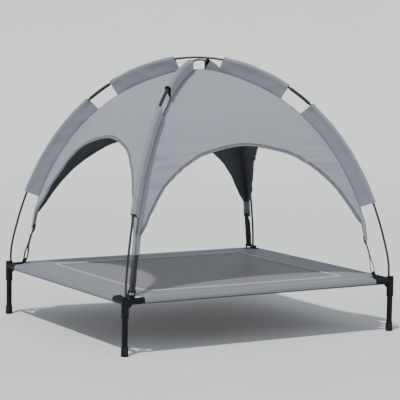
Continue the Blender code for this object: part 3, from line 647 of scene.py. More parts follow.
# painted shade: a darker grey for the arch bindings, the ridge seam tapes and the tab hems, where the cloth
# curls or folds
painted_shade_binding_cloth = cloth("canopy_binding_painted_shade", (0.150, 0.155, 0.170), (0.110, 0.114, 0.126), 0.0008)
sling_material = sling_cloth()
nylon = moulded_plastic("connector_nylon", BLACK, 0.46)
coated_steel = moulded_plastic("frame_steel", BLACK, 0.42, 0.00003, 0.15)
foot_rubber = moulded_plastic("foot_rubber", (0.014, 0.014, 0.014), 0.70, 0.00010, 0.05)
fibreglass = streaked("pole_fibreglass", (0.011, 0.012, 0.013), 0.34)
ferrule_metal = streaked("ferrule_metal", (0.030, 0.030, 0.032), 0.36, 0.6)
webbing = ribbed_webbing("strap_webbing", (0.042, 0.043, 0.046))
canopy_thread = thread("canopy_thread", (0.20, 0.205, 0.22))
sling_thread = thread("sling_thread", (0.46, 0.48, 0.51))
seam_thread = thread("sling_seam", (0.60, 0.63, 0.68))
strap_thread = thread("strap_thread", (0.06, 0.06, 0.065))


# ---------------------------------------------------------------- stitches

def stitch_run(path, normals, length=0.0030, pitch=0.0042, radius=0.00036):
    """Points and faces of a row of stitches that lie on a surface along a path."""
    path = np.asarray(path, float)
    lengths = lengths_along(path)
    stops = np.arange(pitch / 2, lengths[-1] - length / 2, pitch)
    centres = points_at(stops, lengths, path)
    aheads = unit(points_at(stops + 0.001, lengths, path) - centres)
    ups = points_at(stops, lengths, np.asarray(normals, float))
    ups = unit(ups - aheads * np.sum(ups * aheads, axis=1)[:, None])
    sides = 5
    shape = [(-0.5, 0.45), (-0.28, 1.0), (0.28, 1.0), (0.5, 0.45)]
    around = [(i, (i + 1) % sides, sides + (i + 1) % sides, sides + i) for i in range(sides)]
    skin = [tuple(ring * sides + i for i in face) for ring in range(3) for face in around]
    skin += [tuple(range(sides - 1, -1, -1)), tuple(range(3 * sides, 4 * sides))]
    stitches = []
    for centre, ahead, up in zip(centres, aheads, ups):
        vertices = []
        for share, size in shape:
            middle = centre + ahead * (share * length) + up * (radius * 0.35 * size)
            vertices += list(circle_loop(middle, up, np.cross(up, ahead), radius * size, sides))
        stitches.append((vertices, skin))
    return join_shapes(stitches)


def stitching(name, runs, material):
    """One object of several rows of stitches."""
    vertices, faces = join_shapes(runs)
    return new_object(name, smooth_mesh(name, vertices, faces, material))


# ---------------------------------------------------------------- canopy cover

PANELS = {
    "front": (0.0, ARCH_LONG, HALF_X, HALF_Y),
    "right": (pi / 2, ARCH_SHORT, HALF_Y, HALF_X),
    "back": (pi, ARCH_LONG, HALF_X, HALF_Y),
    "left": (-pi / 2, ARCH_SHORT, HALF_Y, HALF_X),
}


def ridge_at(place):
    return np.interp(place, RIDGE_PLACE, RIDGE[:, 0]), np.interp(place, RIDGE_PLACE, RIDGE[:, 1])


def bulge_at(height):
    start, full, fading, gone = BULGE_HEIGHTS
    return BULGE * ease((height - start) / (full - start)) * ease((gone - height) / (gone - fading))


def panel_surface(across, place, along_half, across_half, seed):
    """Point of a panel that faces -Y: across runs from -1 to 1 between ridges, place down the ridge."""
    radius, height = ridge_at(place)
    x = across * along_half * radius / HALF_DIAGONAL
    y = -across_half * radius / HALF_DIAGONAL
    y = y - bulge_at(height) * (1 - across ** 2)
    # soft folds that run level between the ridges, strongest near them
    low = ease((place - 0.10) / 0.45)
    wave = 0.6 * np.sin(height * 92 + 2.2 * across + seed)
    wave = wave + 0.4 * np.sin(height * 163 - 3.1 * across + 2 * seed)
    near = ease((np.abs(across) - 0.30) / 0.5) * (1 - ease((np.abs(across) - 0.93) / 0.07))
    y = y + 0.0016 * wave * near * low
    drag = np.sin(height * 345 + 5.0 * across + 3 * seed) + 0.7 * np.sin(height * 241 - 7.0 * across + seed)
    patch = np.exp(-((height - 0.545 + 0.05 * np.sin(seed)) / 0.075) ** 2)
    y = y + 0.0010 * drag * near * patch
    # short puckers that fan out of the ridge seam
    edge = (1 - np.abs(across)) * along_half * radius / HALF_DIAGONAL
    pucker = np.sin(place * 175 + 1.3 * np.sin(place * 23 + seed))
    fading = np.exp(-edge / 0.020) * (1 - np.exp(-edge / 0.003))
    y = y + 0.0013 * pucker * fading * ease(place / 0.08)
    return np.stack([x, y, height + 0 * across], axis=-1)


def arch_points(arch, along_half, count):
    """Across and place values along a panel's arch, from one corner tab to the other."""
    low_radius, low_height = TAB_CREASE[0]
    end = (along_half * low_radius / HALF_DIAGONAL - TAB_HALF_WIDTHS[0], low_height)
    half = np.array(arch + (end,))
    whole = np.vstack([half[::-1], half[1:] * (-1, 1)])
    curve = smooth_path(np.stack([whole[:, 0], 0 * whole[:, 0], whole[:, 1]], axis=-1), count)
    place = np.interp(-curve[:, 2], -RIDGE[:, 1], RIDGE_PLACE)
    radius = np.interp(place, RIDGE_PLACE, RIDGE[:, 0])
    return curve[:, 0] * HALF_DIAGONAL / (along_half * radius), place


def panel_columns(arch, along_half, count=96, strip=6):
    """Across value and lower end of every column of a panel, from ridge to ridge."""
    across, place = arch_points(arch, along_half, count)
    edge = np.linspace(1.0, across[0], strip + 1)[:-1]
    full = np.full(strip, RIDGE_PLACE[-1])
    return np.concatenate([edge, across, -edge[::-1]]), np.concatenate([full, place, full])


def make_cover(rows=110):
    """The four panels as one sheet, sewn along the ridges, with its dark lining as the inner face."""
    vertices = []
    faces = []
    uvs = []
    for seed, (azimuth, arch, along_half, across_half) in enumerate(PANELS.values()):
        across, ends = panel_columns(arch, along_half)
        columns = len(across)
        share = np.linspace(0.0, 1.0, rows)
        place = ends[:, None] * share[None, :]
        grid = panel_surface(across[:, None] + 0 * place, place, along_half, across_half, 1.7 * seed + 0.4)
        grid = turn_about_z(grid, azimuth)
        first = len(vertices)
        vertices += list(grid.reshape(-1, 3))
        u = across[:, None] * along_half * np.interp(place, RIDGE_PLACE, RIDGE[:, 0]) / HALF_DIAGONAL
        for c in range(columns - 1):
            for r in range(rows - 1):
                quad = [(c, r), (c, r + 1), (c + 1, r + 1), (c + 1, r)]
                faces.append(tuple(first + i * rows + j for i, j in quad))
                uvs += [(u[i, j] + seed, place[i, j]) for i, j in quad]
    cloths = [canopy_cloth, lining_cloth]
    item = finish_mesh("canopy_cover", vertices, faces, uvs, cloths, closed=False, angle=180)
    work = bmesh.new()
    work.from_mesh(item.data)
    bmesh.ops.remove_doubles(work, verts=work.verts, dist=0.00005)
    bmesh.ops.recalc_face_normals(work, faces=work.faces)
    if sum(f.normal.z * f.calc_area() for f in work.faces) < 0:
        bmesh.ops.reverse_faces(work, faces=work.faces)
    work.to_mesh(item.data)
    work.free()
    solid = item.modifiers.new("cloth", "SOLIDIFY")
    solid.thickness = CLOTH_THICKNESS
    solid.offset = -1.0
    solid.material_offset = 1
    solid.material_offset_rim = 0
    apply_modifiers(item)
    item.data.shade_smooth()
    item.data.set_sharp_from_angle(angle=radians(60))
    return item


def arch_frame(azimuth, arch, along_half, across_half, seed, count=150):
    """Points of an arch's edge, the cloth's outward normal there, and the way into the cloth."""
    across, place = arch_points(arch, along_half, count)
    edge = panel_surface(across, place, along_half, across_half, seed)
    inside = panel_surface(np.clip(across * 1.02, -1, 1), place - 0.010, along_half, across_half, seed)
    run = unit(np.gradient(edge, axis=0))
    into = inside - edge
    into = unit(into - run * np.sum(into * run, axis=1)[:, None])
    normal = unit(np.cross(run, into))
    flip = np.sign(normal @ [0, -1.0, 0.3])[:, None]
    return tuple(turn_about_z(v, azimuth) for v in (edge, normal * flip, into))


def make_binding(name, seed, azimuth, arch, along_half, across_half):
    """Tape folded over the arch's edge: grey outside, darkened as painted shade where it curls in, dark
    inside, and a row of stitches.
    """
    edge, normal, into = arch_frame(azimuth, arch, along_half, across_half, seed)
    inner = CLOTH_THICKNESS + 0.0010
    section = [
        (BINDING_WIDTH, 0.0003), (BINDING_WIDTH - 0.0006, 0.0008), (BINDING_WIDTH - 0.0022, 0.0008),
        (0.0045, 0.0008), (0.0018, 0.0002), (0.0000, -0.0006), (-0.0012, -0.0016), (-0.0014, -0.0024),
        (-0.0010, -inner - 0.0020), (0.0004, -inner - 0.0023), (0.0040, -inner - 0.0014),
        (BINDING_WIDTH - 0.0020, -inner - 0.0002), (BINDING_WIDTH - 0.0004, -inner + 0.0001),
        (BINDING_WIDTH, -inner + 0.0007),
    ]
    place = lengths_along(edge)
    ripple = 1 + 0.0216 * np.sin(place * 420 + seed) + 0.0144 * np.sin(place * 171 + 2 * seed)
    loops = [edge + into * a + normal * (b * ripple)[:, None] for a, b in section]
    item = loft(name, np.stack(loops, axis=1), [painted_shade_binding_cloth, lining_cloth], angle=60)
    for face in item.data.polygons:
        k = int(np.argmin(np.sum((edge - np.array(face.center)) ** 2, axis=1)))
        if (np.array(face.center) - edge[k]) @ normal[k] < -CLOTH_THICKNESS * 0.8:
            face.material_index = 1
    seam = edge + into * (BINDING_WIDTH - 0.0018) + normal * 0.0010
    return item, stitch_run(seam, normal)


def make_seam_tape(name, seed, sign, azimuth, along_half, across_half, count=120):
    """Felled seam beside the flap, along one of a panel's two ridges, and thicker near the top. Its dark
    cloth is painted shade of the fold along the ridge.
    """
    place = np.linspace(0.030, RIDGE_PLACE[-1] - 0.004, count)
    half = along_half * ridge_at(place)[0] / HALF_DIAGONAL
    rows = []
    for inset in (0.0004, SEAM_TAPE_WIDTH * 0.5, SEAM_TAPE_WIDTH):
        rows.append(panel_surface(sign * (1 - inset / half), place, along_half, across_half, seed))
    run = np.gradient(rows[0], axis=0)
    normal = unit(np.cross(run, rows[2] - rows[0]))
    normal *= np.sign(-normal[:, 1:2])
    thick = normal * (1 + 2.6 * (1 - ease(place / 0.28)))[:, None]
    upper = [row + thick * up for row, up in zip(rows, (0.0002, 0.0007, 0.0006))]
    lower = [row - normal * 0.0001 for row in rows[::-1]]
    return loft(name, turn_about_z(np.stack(upper + lower, axis=1), azimuth), [painted_shade_binding_cloth], angle=50)


# ---------------------------------------------------------------- sleeves

def make_sleeve(name, span, slant, lift, azimuth, seed):
    """Two layers of cloth from the ridge seam, widening into a loose channel round the pole."""
    stations = 64
    layer = 9
    arc = 19
    low = share_at(span[1])
    high = share_at(span[0])
    outer_loops = []
    inner_loops = []
    length = (high - low) * POLE_LENGTH
    for k, share in enumerate(np.linspace(low, high, stations)):
        t = k / (stations - 1)
        lower_end = 1 - ease(t * length / 0.035)
        upper_end = 1 - ease((1 - t) * length / 0.035)
        pole = pole_points(share, lift)[0]
        seam = ridge_points(min(share + slant * (1 - ease((1 - t) * length / 0.06)) / POLE_LENGTH, 1.0))[0]
        out = pole - seam
        width = np.linalg.norm(out)
        out /= width
        wander = t * length
        swell = 1 + 0.04 * sin(wander * 64 + seed * 1.7) + 0.03 * sin(wander * 141 + seed)
        radius = CHANNEL_RADIUS * swell * (1 + 0.12 * max(lower_end, upper_end) ** 2)
        bow = 0.0010 * sin(wander * 38 + seed) + 0.0006 * sin(wander * 87 + 2 * seed)
        hem = 0.0004 if min(t, 1 - t) * length < 0.009 else 0.0
        for inset, base, loops in ((0.0, -0.0003, outer_loops), (SLEEVE_WALL + hem, 0.0075, inner_loops)):
            size = radius + hem - inset
            tangent = np.arccos(min(size / (width - base), 1.0))
            angles = np.linspace(-(pi - tangent), pi - tangent, arc)
            ring = [pole + out * (size * cos(a)) + ACROSS * (size * sin(a)) for a in angles]
            foot = max(0.0017 - 2 * inset, 0.0002)
            left = []
            right = []
            for share_up in np.linspace(0.0, 1.0, layer, endpoint=False):
                crest = sin(pi * share_up)
                start = seam + out * base
                crease = sin(wander * 118 + 5.5 * share_up + seed)
                crease += 0.7 * sin(wander * 67 - 4 * share_up + 2 * seed)
                dent = 0.0007 * crease * (0.4 + 0.6 * max(lower_end, upper_end))
                for points, sign, corner in ((left, -1, ring[0]), (right, 1, ring[-1])):
                    run = start + (corner - start) * share_up
                    pinch = -0.22 * ((run - start) @ ACROSS)
                    shift = crest * (pinch + dent + bow) + sign * foot * (1 - share_up)
                    points.append(run + ACROSS * shift)
            loops.append(left + ring + right[::-1])
    loops = outer_loops + inner_loops[::-1]
    rows = [0] * (stations - 1) + [1] * (stations + 1)
    item = loft(name, turn_about_z(loops, azimuth), [painted_shade_sleeve_cloth, lining_cloth], ring=True, slot_rows=rows,
                angle=55)
    outer = np.array(outer_loops)
    runs = []
    for column, outward in ((1, -1), (-2, 1)):
        path = outer[2:-2, column] + ACROSS * outward * 0.0002
        normals = np.tile(ACROSS * outward, (len(path), 1))
        runs.append(stitch_run(turn_about_z(path, azimuth), turn_about_z(normals, azimuth)))
    return item, runs


# ---------------------------------------------------------------- corner tabs, straps, hooks

def hem_at(share):
    """How much a tab's edge hem adds to its thickness, at this share of its half width."""
    return 0.0006 if 0.85 < share < 0.99 else 0.0


def make_tab(name, corner):
    """The canopy's corner below the arches: a folded tongue with a hem down each edge."""
    sign_x, sign_y = CORNERS[corner]
    azimuth = corner_azimuth(corner)
    out = np.array([cos(azimuth), sin(azimuth), 0.0])
    top, tip = TAB_CREASE[0][1], TAB_CREASE[-1][1]
    middle = np.linspace(top + 0.010, tip + 0.0008, 30)
    heights = np.concatenate([[top + 0.012, top + 0.0118], middle, [tip + 0.0003, tip]])
    crease_heights = [top + 0.012] + [height for _, height in TAB_CREASE]
    crease_radii = [float(np.interp(-top - 0.012, -RIDGE[:, 1], RIDGE[:, 0])) + 0.0004]
    crease_radii += [radius + 0.0004 for radius, _ in TAB_CREASE]
    steps = (1.0, 0.985, 0.94, 0.86, 0.84, 0.55, 0.25, 0.10, 0.075)
    loops = []
    for k, height in enumerate(heights):
        down = (top - height) / (top - tip)
        half = float(np.interp(height, (tip, top), TAB_HALF_WIDTHS[::-1]))
        radius = float(np.interp(-height, [-h for h in crease_heights], crease_radii))
        crease = out * radius + (0, 0, height)
        thick = 0.0012 + 0.0005 * ease((down - 0.8) / 0.2)
        if k in (0, len(heights) - 1):
            thick *= 0.5
        closing = -0.22 * ease(down)
        outside = []
        inside = []
        for leaf in (np.array([-sign_x, 0.0, 0.0]), np.array([0.0, -sign_y, 0.0])):
            way = unit(leaf - out * closing)
            normal = unit(out - way * (out @ way))
            ripple = 0.0004 * sin(height * 260 + sign_x * 2) * ease(down * 3)
            for face, points in ((1, outside), (-1, inside)):
                points.append([
                    crease + way * (half * t) + normal * (face * (thick * 0.5 + hem_at(t)) + ripple * t)
                    for t in steps])
        ridge = [crease + out * (thick * 0.5 + 0.0002)]
        hollow = [crease - out * thick]
        loops.append(outside[0] + ridge + outside[1][::-1] + inside[1] + hollow + inside[0][::-1])
    count = len(steps)
    # the hem and crease columns take the darker binding cloth: painted shade
    front = [1, 1, 1, 0, 0, 0, 0, 1, 1]
    columns = front + front[::-1] + [1] + [0] * (2 * count) + [1]
    item = loft(name, loops, [canopy_cloth, painted_shade_binding_cloth], angle=50, slot_columns=columns)
    loops = np.array(loops)
    down_edges = [(loops[3:-3, column], 0.0022, 0.0032) for column in (4, 2 * count - 4)]
    across_tip = [(loops[level][3:2 * count - 2], 0.0018, 0.0026) for level in (-5, -9)]
    made = [stitch_run(path + out * 0.0003, np.tile(out, (len(path), 1)), length, pitch, 0.00030)
            for path, length, pitch in down_edges + across_tip]
    return item, made


def smooth_path(points, count):
    """A Catmull-Rom curve through the points, evenly spaced."""
    points = np.asarray(points, float)
    padded = np.vstack([2 * points[0] - points[1], points, 2 * points[-1] - points[-2]])
    fine = []
    for i in range(1, len(padded) - 2):
        a, b, c, d = padded[i - 1:i + 3]
        for t in np.linspace(0, 1, 24, endpoint=False):
            fine.append(0.5 * (2 * b + (c - a) * t + (2 * a - 5 * b + 4 * c - d) * t * t
                               + (3 * b - a - 3 * c + d) * t ** 3))
    fine = np.array(fine + [points[-1]])
    lengths = lengths_along(fine)
    return points_at(np.linspace(0, lengths[-1], count), lengths, fine)


def make_strap(name, azimuth):
    """One length of webbing: down from the tab, round the hook's bar and up to the tab again."""
    bar = np.array([HOOK_BAR[0], 0, HOOK_BAR[1]])
    split = np.array([STRAP_SPLIT[0], 0, STRAP_SPLIT[1]])
    tip = np.array([STRAP_TOP[0], 0, STRAP_TOP[1]])
    top = tip + np.array([-0.0020, 0, 0.012])
    up = unit(split - bar)
    side = np.array([up[2], 0, -up[0]])
    gap = STRAP_THICKNESS * 0.54
    wrap = HOOK_BAR_RADIUS + STRAP_THICKNESS * 0.5 + 0.0002
    reach = np.linalg.norm(split - bar)
    half_way = (tip + split) / 2
    outward = [
        top + side * gap, tip + side * gap, half_way + side * gap,
        split + side * gap, bar + up * reach * 0.72 + side * (gap + 0.0016),
        bar + up * reach * 0.40 + side * (wrap + 0.0014), bar + up * 0.004 + side * (wrap + 0.0004),
    ]
    around = [bar + (side * cos(a) - up * sin(a)) * wrap for a in np.linspace(0.35, pi - 0.35, 7)]
    inward = [
        bar + up * 0.004 - side * (wrap + 0.0004), bar + up * reach * 0.40 - side * (wrap + 0.0004),
        bar + up * reach * 0.72 - side * (gap + 0.0008), split - side * gap,
        half_way - side * gap, tip - side * gap, top - side * gap,
    ]
    path = smooth_path(outward + around + inward, 150)
    _, out = path_frames(path, ACROSS)
    half = STRAP_THICKNESS / 2
    upper = [(-1.0, 0.0), (-0.985, 0.6), (-0.95, 1.0), (-0.5, 1.0),
             (0.0, 1.0), (0.5, 1.0), (0.95, 1.0), (0.985, 0.6)]
    section = upper + [(-a, -b) for a, b in upper]
    loops = []
    for k in range(len(path)):
        cup = 0.0004 * sin(k * 0.13)
        level = path[k][2]
        spread = ease((level - bar[2] - 0.008) / 0.035)
        wide = STRAP_WIDTH_AT_BAR + (STRAP_WIDTH - STRAP_WIDTH_AT_BAR) * spread
        width = wide / 2 * (1 + 0.012 * sin(k * 0.31))
        folded = ease((level - tip[2] + 0.022) / 0.022)
        fold = np.array([-0.62 * width * folded, 0, 0])
        width *= 1 - 0.24 * folded
        loops.append([path[k] + ACROSS * (a * width) + fold * abs(a) + out[k] * (b * half + cup * a * a)
                      for a, b in section])
    item = loft(name, turn_about_z(loops, azimuth), [webbing], angle=50)
    runs = []
    tack = split + up * 0.004
    for level in (0.0, 0.0028):
        for face in (1, -1):
            points = [tack + up * level + side * face * (gap + half + 0.0001) + ACROSS * s
                      for s in np.linspace(-0.0080, 0.0080, 9)]
            normals = np.tile(side * face, (len(points), 1))
            points, normals = turn_about_z(points, azimuth), turn_about_z(normals, azimuth)
            runs.append(stitch_run(points, normals, 0.0012, 0.0014, 0.0003))
    return item, runs


def hook_shapes():
    """The hook's claw, bridge, prongs and bar, in the corner's plane."""
    bar = np.array([HOOK_BAR[0], 0, HOOK_BAR[1]])
    anchor = np.array([HALF_DIAGONAL - ANCHOR_INSET, 0, ANCHOR_HEIGHT])
    up = unit(bar - anchor)
    side = np.array([up[2], 0, -up[0]])
    inside = ANCHOR_RADIUS + 0.0006
    outside = inside + HOOK_THICKNESS
    claw = [anchor + (-side * cos(a) - up * sin(a)) * inside for a in np.linspace(0, pi, 17)]
    back = [anchor + (side * cos(a) - up * sin(a)) * outside for a in np.linspace(0, pi, 17)]
    shank = [anchor - side * outside + up * 0.012, anchor - side * inside + up * 0.012]
    tip = [claw[-1] + up * 0.0012 + side * 0.0006]
    shapes = [prism(shank + claw + tip + back, ACROSS, HOOK_WIDTH)]
    yoke = anchor + up * 0.0135
    half_gap = HOOK_PRONG_GAP / 2 + HOOK_PRONG_THICKNESS
    bridge = [yoke - side * outside - up * 0.0040, yoke - side * 0.0005 - up * 0.0040,
              yoke - side * 0.0005 + up * 0.0010, yoke - side * outside + up * 0.0010]
    shapes.append(prism(bridge, ACROSS, 2 * half_gap))
    for sign in (-1, 1):
        middle = ACROSS * (sign * (HOOK_PRONG_GAP + HOOK_PRONG_THICKNESS) / 2)
        nose = [bar + (side * cos(a) + up * sin(a)) * HOOK_BAR_RADIUS * 1.25 + middle
                for a in np.linspace(-0.4, pi + 0.1, 12)]
        prong = [yoke - side * inset - up * 0.0035 + middle for inset in (outside, 0.0010)]
        shapes.append(prism(prong + nose, ACROSS, HOOK_PRONG_THICKNESS))
    reach = ACROSS * (HOOK_PRONG_GAP / 2 + 0.001)
    shapes.append(solid_rod(bar - reach, bar + reach, side, HOOK_BAR_RADIUS))
    return shapes


# ---------------------------------------------------------------- connectors

def connector_shapes():
    """The back right connector about its leg axis: what it is made of, and what is bored out of it."""
    bottom = UPWARDS * POST_BOTTOM
    shapes = [solid_rod(bottom, (0, 0, POST_TOP), ACROSS, POST_RADIUS, 64)]
    shapes.append(solid_rod(bottom, bottom + (0, 0, 0.003), ACROSS, POST_RADIUS + 0.0004, 64))
    lift = UPWARDS * TUBE_AXIS
    cuts = []
    arms = ((np.array([-1.0, 0, 0]), ACROSS), (-ACROSS, np.array([1.0, 0, 0])))
    for inward, side in arms:
        end = lift + inward * BARREL_REACH
        shapes.append(solid_rod(lift, end, side, BARREL_RADIUS, 64))
        outline = [
            inward * (POST_RADIUS - 0.004) + (0, 0, GUSSET_FOOT),
            inward * POST_RADIUS + (0, 0, GUSSET_FOOT),
            inward * GUSSET_REACH + (0, 0, TUBE_AXIS - BARREL_RADIUS),
            inward * GUSSET_REACH + (0, 0, TUBE_AXIS - BARREL_RADIUS + 0.004),
            inward * (POST_RADIUS - 0.004) + (0, 0, TUBE_AXIS),
        ]
        shapes.append(prism(outline, side, 0.005))
        bore = TUBE_RADIUS + CLEARANCE
        cuts.append(solid_rod(lift + inward * BARREL_FLOOR, end + inward * 0.01, side, bore, 64))
    azimuth = corner_azimuth("back_right")
    out = np.array([cos(azimuth), sin(azimuth), 0.0])
    along = np.array([-sin(azimuth), cos(azimuth), 0.0])
    centre = out * -ANCHOR_INSET + (0, 0, ANCHOR_HEIGHT)
    ends = [centre + along * reach for reach in ANCHOR_ENDS]
    shapes.append(solid_rod(*ends, UPWARDS, ANCHOR_RADIUS, 32))
    under = bottom - (0, 0, 0.01)
    cuts.append(solid_rod(under, (0, 0, LEG_SOCKET_TOP), ACROSS, LEG_RADIUS + CLEARANCE, 64))
    foot = out * -POLE_INSET
    over = foot + (0, 0, POST_TOP + 0.01)
    cuts.append(solid_rod(foot + (0, 0, SOCKET_FLOOR), over, along, SOCKET_RADIUS, 48))
    return shapes, cuts


def copy_to(item, name, matrix):
    """A copy of a mesh object, moved by a matrix that may mirror it."""
    mesh = item.data.copy()
    mesh.transform(matrix)
    if matrix.determinant() < 0:
        mesh.flip_normals()
    return new_object(name, mesh)


def make_connectors():
    shapes, cuts = connector_shapes()
    master = moulded("connector_master", shapes, cuts, 0.00062, 7, nylon)
    made = {}
    for corner, (sign_x, sign_y) in CORNERS.items():
        mirror = Matrix.Diagonal((sign_x, sign_y, 1, 1))
        matrix = Matrix.Translation(leg_axis(corner)) @ mirror
        made[corner] = copy_to(master, "connector_" + corner + "_fine", matrix)
    bpy.data.objects.remove(master)
    return made


# ---------------------------------------------------------------- sling

def sling_coordinates(half):
    """Grid lines across the unrolled sling: underlap, turn round the tube, flat middle, and back."""
    turn = HEM_RADIUS * pi
    under = half + turn + np.array([HEM_UNDERLAP, 0.018, 0.010, 0.004])
    wrap = half + turn * np.linspace(1, 0, 15)
    flat = np.linspace(half, 0, 57)[1:]
    positive = np.concatenate([under, wrap, flat])
    return np.concatenate([positive, -positive[-2::-1]])


def roll_hem(value, half):
    """Where a point of the unrolled sling lies: along its own axis, and height over the tube's axis."""
    over = np.abs(value) - half
    angle = np.clip(over / HEM_RADIUS, 0.0, pi)
    beyond = np.clip(over - HEM_RADIUS * pi, 0.0, None)
    place = np.where(over > 0, half + HEM_RADIUS * np.sin(angle) - beyond, np.abs(value))
    height = HEM_RADIUS * np.cos(angle) + beyond * 0.55
    return np.sign(value) * place, height


def cut_corner(work, sign_x, sign_y):
    """Cut a corner off the unrolled sling: slanting across the flat, and straight down through both hems."""
    near_long = Vector((sign_x * (HALF_X - CORNER_CUT), sign_y * (HALF_Y - CORNER_STEP), 0))
    near_short = Vector((sign_x * (HALF_X - CORNER_STEP), sign_y * (HALF_Y - CORNER_CUT), 0))
    run = near_short - near_long
    normal = Vector((run.y, -run.x, 0)).normalized()
    if normal.dot(Vector((sign_x, sign_y, 0))) < 0:
        normal.negate()
    for point, way in (
            (near_long, normal),
            (Vector((sign_x * (HALF_X - CORNER_CUT), 0, 0)), Vector((sign_x, 0, 0))),
            (Vector((0, sign_y * (HALF_Y - CORNER_CUT), 0)), Vector((0, sign_y, 0)))):
        everything = work.verts[:] + work.edges[:] + work.faces[:]
        bmesh.ops.bisect_plane(work, geom=everything, plane_co=point, plane_no=way, dist=1e-6)
    doomed = []
    for face in work.faces:
        middle = face.calc_center_median()
        past_x = middle.x * sign_x - HALF_X
        past_y = middle.y * sign_y - HALF_Y
        over_slant = (middle - near_long).dot(normal) > 0 and min(past_x, past_y) > -CORNER_CUT
        if over_slant or (min(past_x, past_y) > -CORNER_CUT and max(past_x, past_y) > -CORNER_STEP):
            doomed.append(face)
    bmesh.ops.delete(work, geom=doomed, context="FACES")


def make_sling():
    """The sling as one sheet: cut out flat, and then bent into shape."""
    work = bmesh.new()
    xs, ys = sling_coordinates(HALF_X), sling_coordinates(HALF_Y)
    grid = [[work.verts.new((x, y, 0)) for y in ys] for x in xs]
    for i in range(len(xs) - 1):
        for j in range(len(ys) - 1):
            work.faces.new((grid[i][j], grid[i + 1][j], grid[i + 1][j + 1], grid[i][j + 1]))
    for sign_x in (-1, 1):
        for sign_y in (-1, 1):
            cut_corner(work, sign_x, sign_y)
    bmesh.ops.remove_doubles(work, verts=work.verts, dist=1e-6)
    layer = work.loops.layers.uv.new("metres")
    for face in work.faces:
        for corner in face.loops:
            corner[layer].uv = corner.vert.co.xy
    for vert, place in zip(work.verts, sling_shape(np.array([v.co[:] for v in work.verts]))):
        vert.co = place
    mesh = bpy.data.meshes.new("sling")
    work.to_mesh(mesh)
    work.free()
    mesh.materials.append(sling_material)
    item = new_object("sling_sheet", mesh)
    solid = item.modifiers.new("cloth", "SOLIDIFY")
    solid.thickness = SLING_THICKNESS
    solid.offset = 1.0
    apply_modifiers(item)
    item.data.shade_smooth()
    item.data.set_sharp_from_angle(angle=radians(60))
    return item


def sling_shape(flat):
    """Points of the unrolled sling, wrapped round the tubes, sagged and creased."""
    x, up_x = roll_hem(flat[:, 0], HALF_X)
    y, up_y = roll_hem(flat[:, 1], HALF_Y)
    height = TUBE_AXIS + np.where(np.abs(flat[:, 0]) > HALF_X, up_x, up_y)
    top = (np.abs(flat[:, 0]) <= HALF_X) & (np.abs(flat[:, 1]) <= HALF_Y)
    in_x = np.clip(1 - (x / HALF_X) ** 2, 0, 1)
    in_y = np.clip(1 - (y / HALF_Y) ** 2, 0, 1)
    sag = -SLING_SAG * (in_x * in_y) ** 0.8
    inside = (HALF_X - SEAM_INSET_X - np.abs(x), HALF_Y - SEAM_INSET_Y - np.abs(y))
    gap = np.minimum(*inside)
    step = 0.0007 * ease(-gap / 0.003)
    welt = 0.0008 * np.exp(-(gap / 0.0022) ** 2)
    # faint creases that run out to the corners
    corner = np.clip(np.abs(x) / HALF_X, 0, 1) ** 3 * np.clip(np.abs(y) / HALF_Y, 0, 1) ** 3
    across = np.abs(x) * HALF_Y / HALF_X - np.abs(y)
    crease = 0.0012 * np.sin(across * 150) * corner * np.exp(-(across / 0.05) ** 2)
    ripple = 0.0004 * np.sin(x * 41 + 1.0) * np.sin(y * 37 + 0.4) * in_x * in_y
    height = height + np.where(top, sag + step + welt + crease + ripple, 0.0)
    return np.stack([x, y, height], axis=-1)


def flat_tape(name, flat, width, height, material):
    """A narrow tape that lies on the sling along a line of its unrolled shape."""
    path = sling_shape(flat) + (0, 0, SLING_THICKNESS)
    side = np.cross(UPWARDS, unit(np.gradient(path, axis=0)))
    section = [(-0.5, -0.2), (-0.5, 0.5), (-0.3, 1.0), (0.3, 1.0), (0.5, 0.5), (0.5, -0.2)]
    loops = [path + side * (a * width) + UPWARDS * (b * height) for a, b in section]
    return loft(name, np.stack(loops, axis=1), [material], angle=50)


def seam_sides(outset, count):
    """The four sides of the sling's inner rectangle, set outwards by this much on the unrolled sling."""
    x, y = HALF_X - SEAM_INSET_X + outset, HALF_Y - SEAM_INSET_Y + outset
    corners = ((-x, -y, 0), (x, -y, 0), (x, y, 0), (-x, y, 0))
    return [np.linspace(start, end, count) for start, end in zip(corners, corners[1:] + corners[:1])]


def seam_tapes():
    """The pale overlocked seam round the sling's inner rectangle."""
    return [flat_tape("sling_seam_%d" % number, flat, SLING_SEAM_WIDTH, SLING_SEAM_HEIGHT, seam_thread)
            for number, flat in enumerate(seam_sides(0.0, 200))]


def sling_seams():
    """Stitches: each side of the inner rectangle's seam, and a row inside each hem."""
    count = 120
    rows = seam_sides(-0.003, count) + seam_sides(0.003, count)
    for axis, half, other in ((0, HALF_X, HALF_Y), (1, HALF_Y, HALF_X)):
        reach = other - CORNER_CUT - 0.01
        for sign in (-1, 1):
            flat = np.zeros((count, 3))
            flat[:, axis] = sign * (half - HEM_SEAM_INSET)
            flat[:, 1 - axis] = np.linspace(-reach, reach, count)
            rows.append(flat)
    lift = (0, 0, SLING_THICKNESS + 0.0001)
    normals = np.tile(UPWARDS, (count, 1))
    return [stitch_run(sling_shape(flat) + lift, normals, 0.0026, 0.0036, 0.00030) for flat in rows]


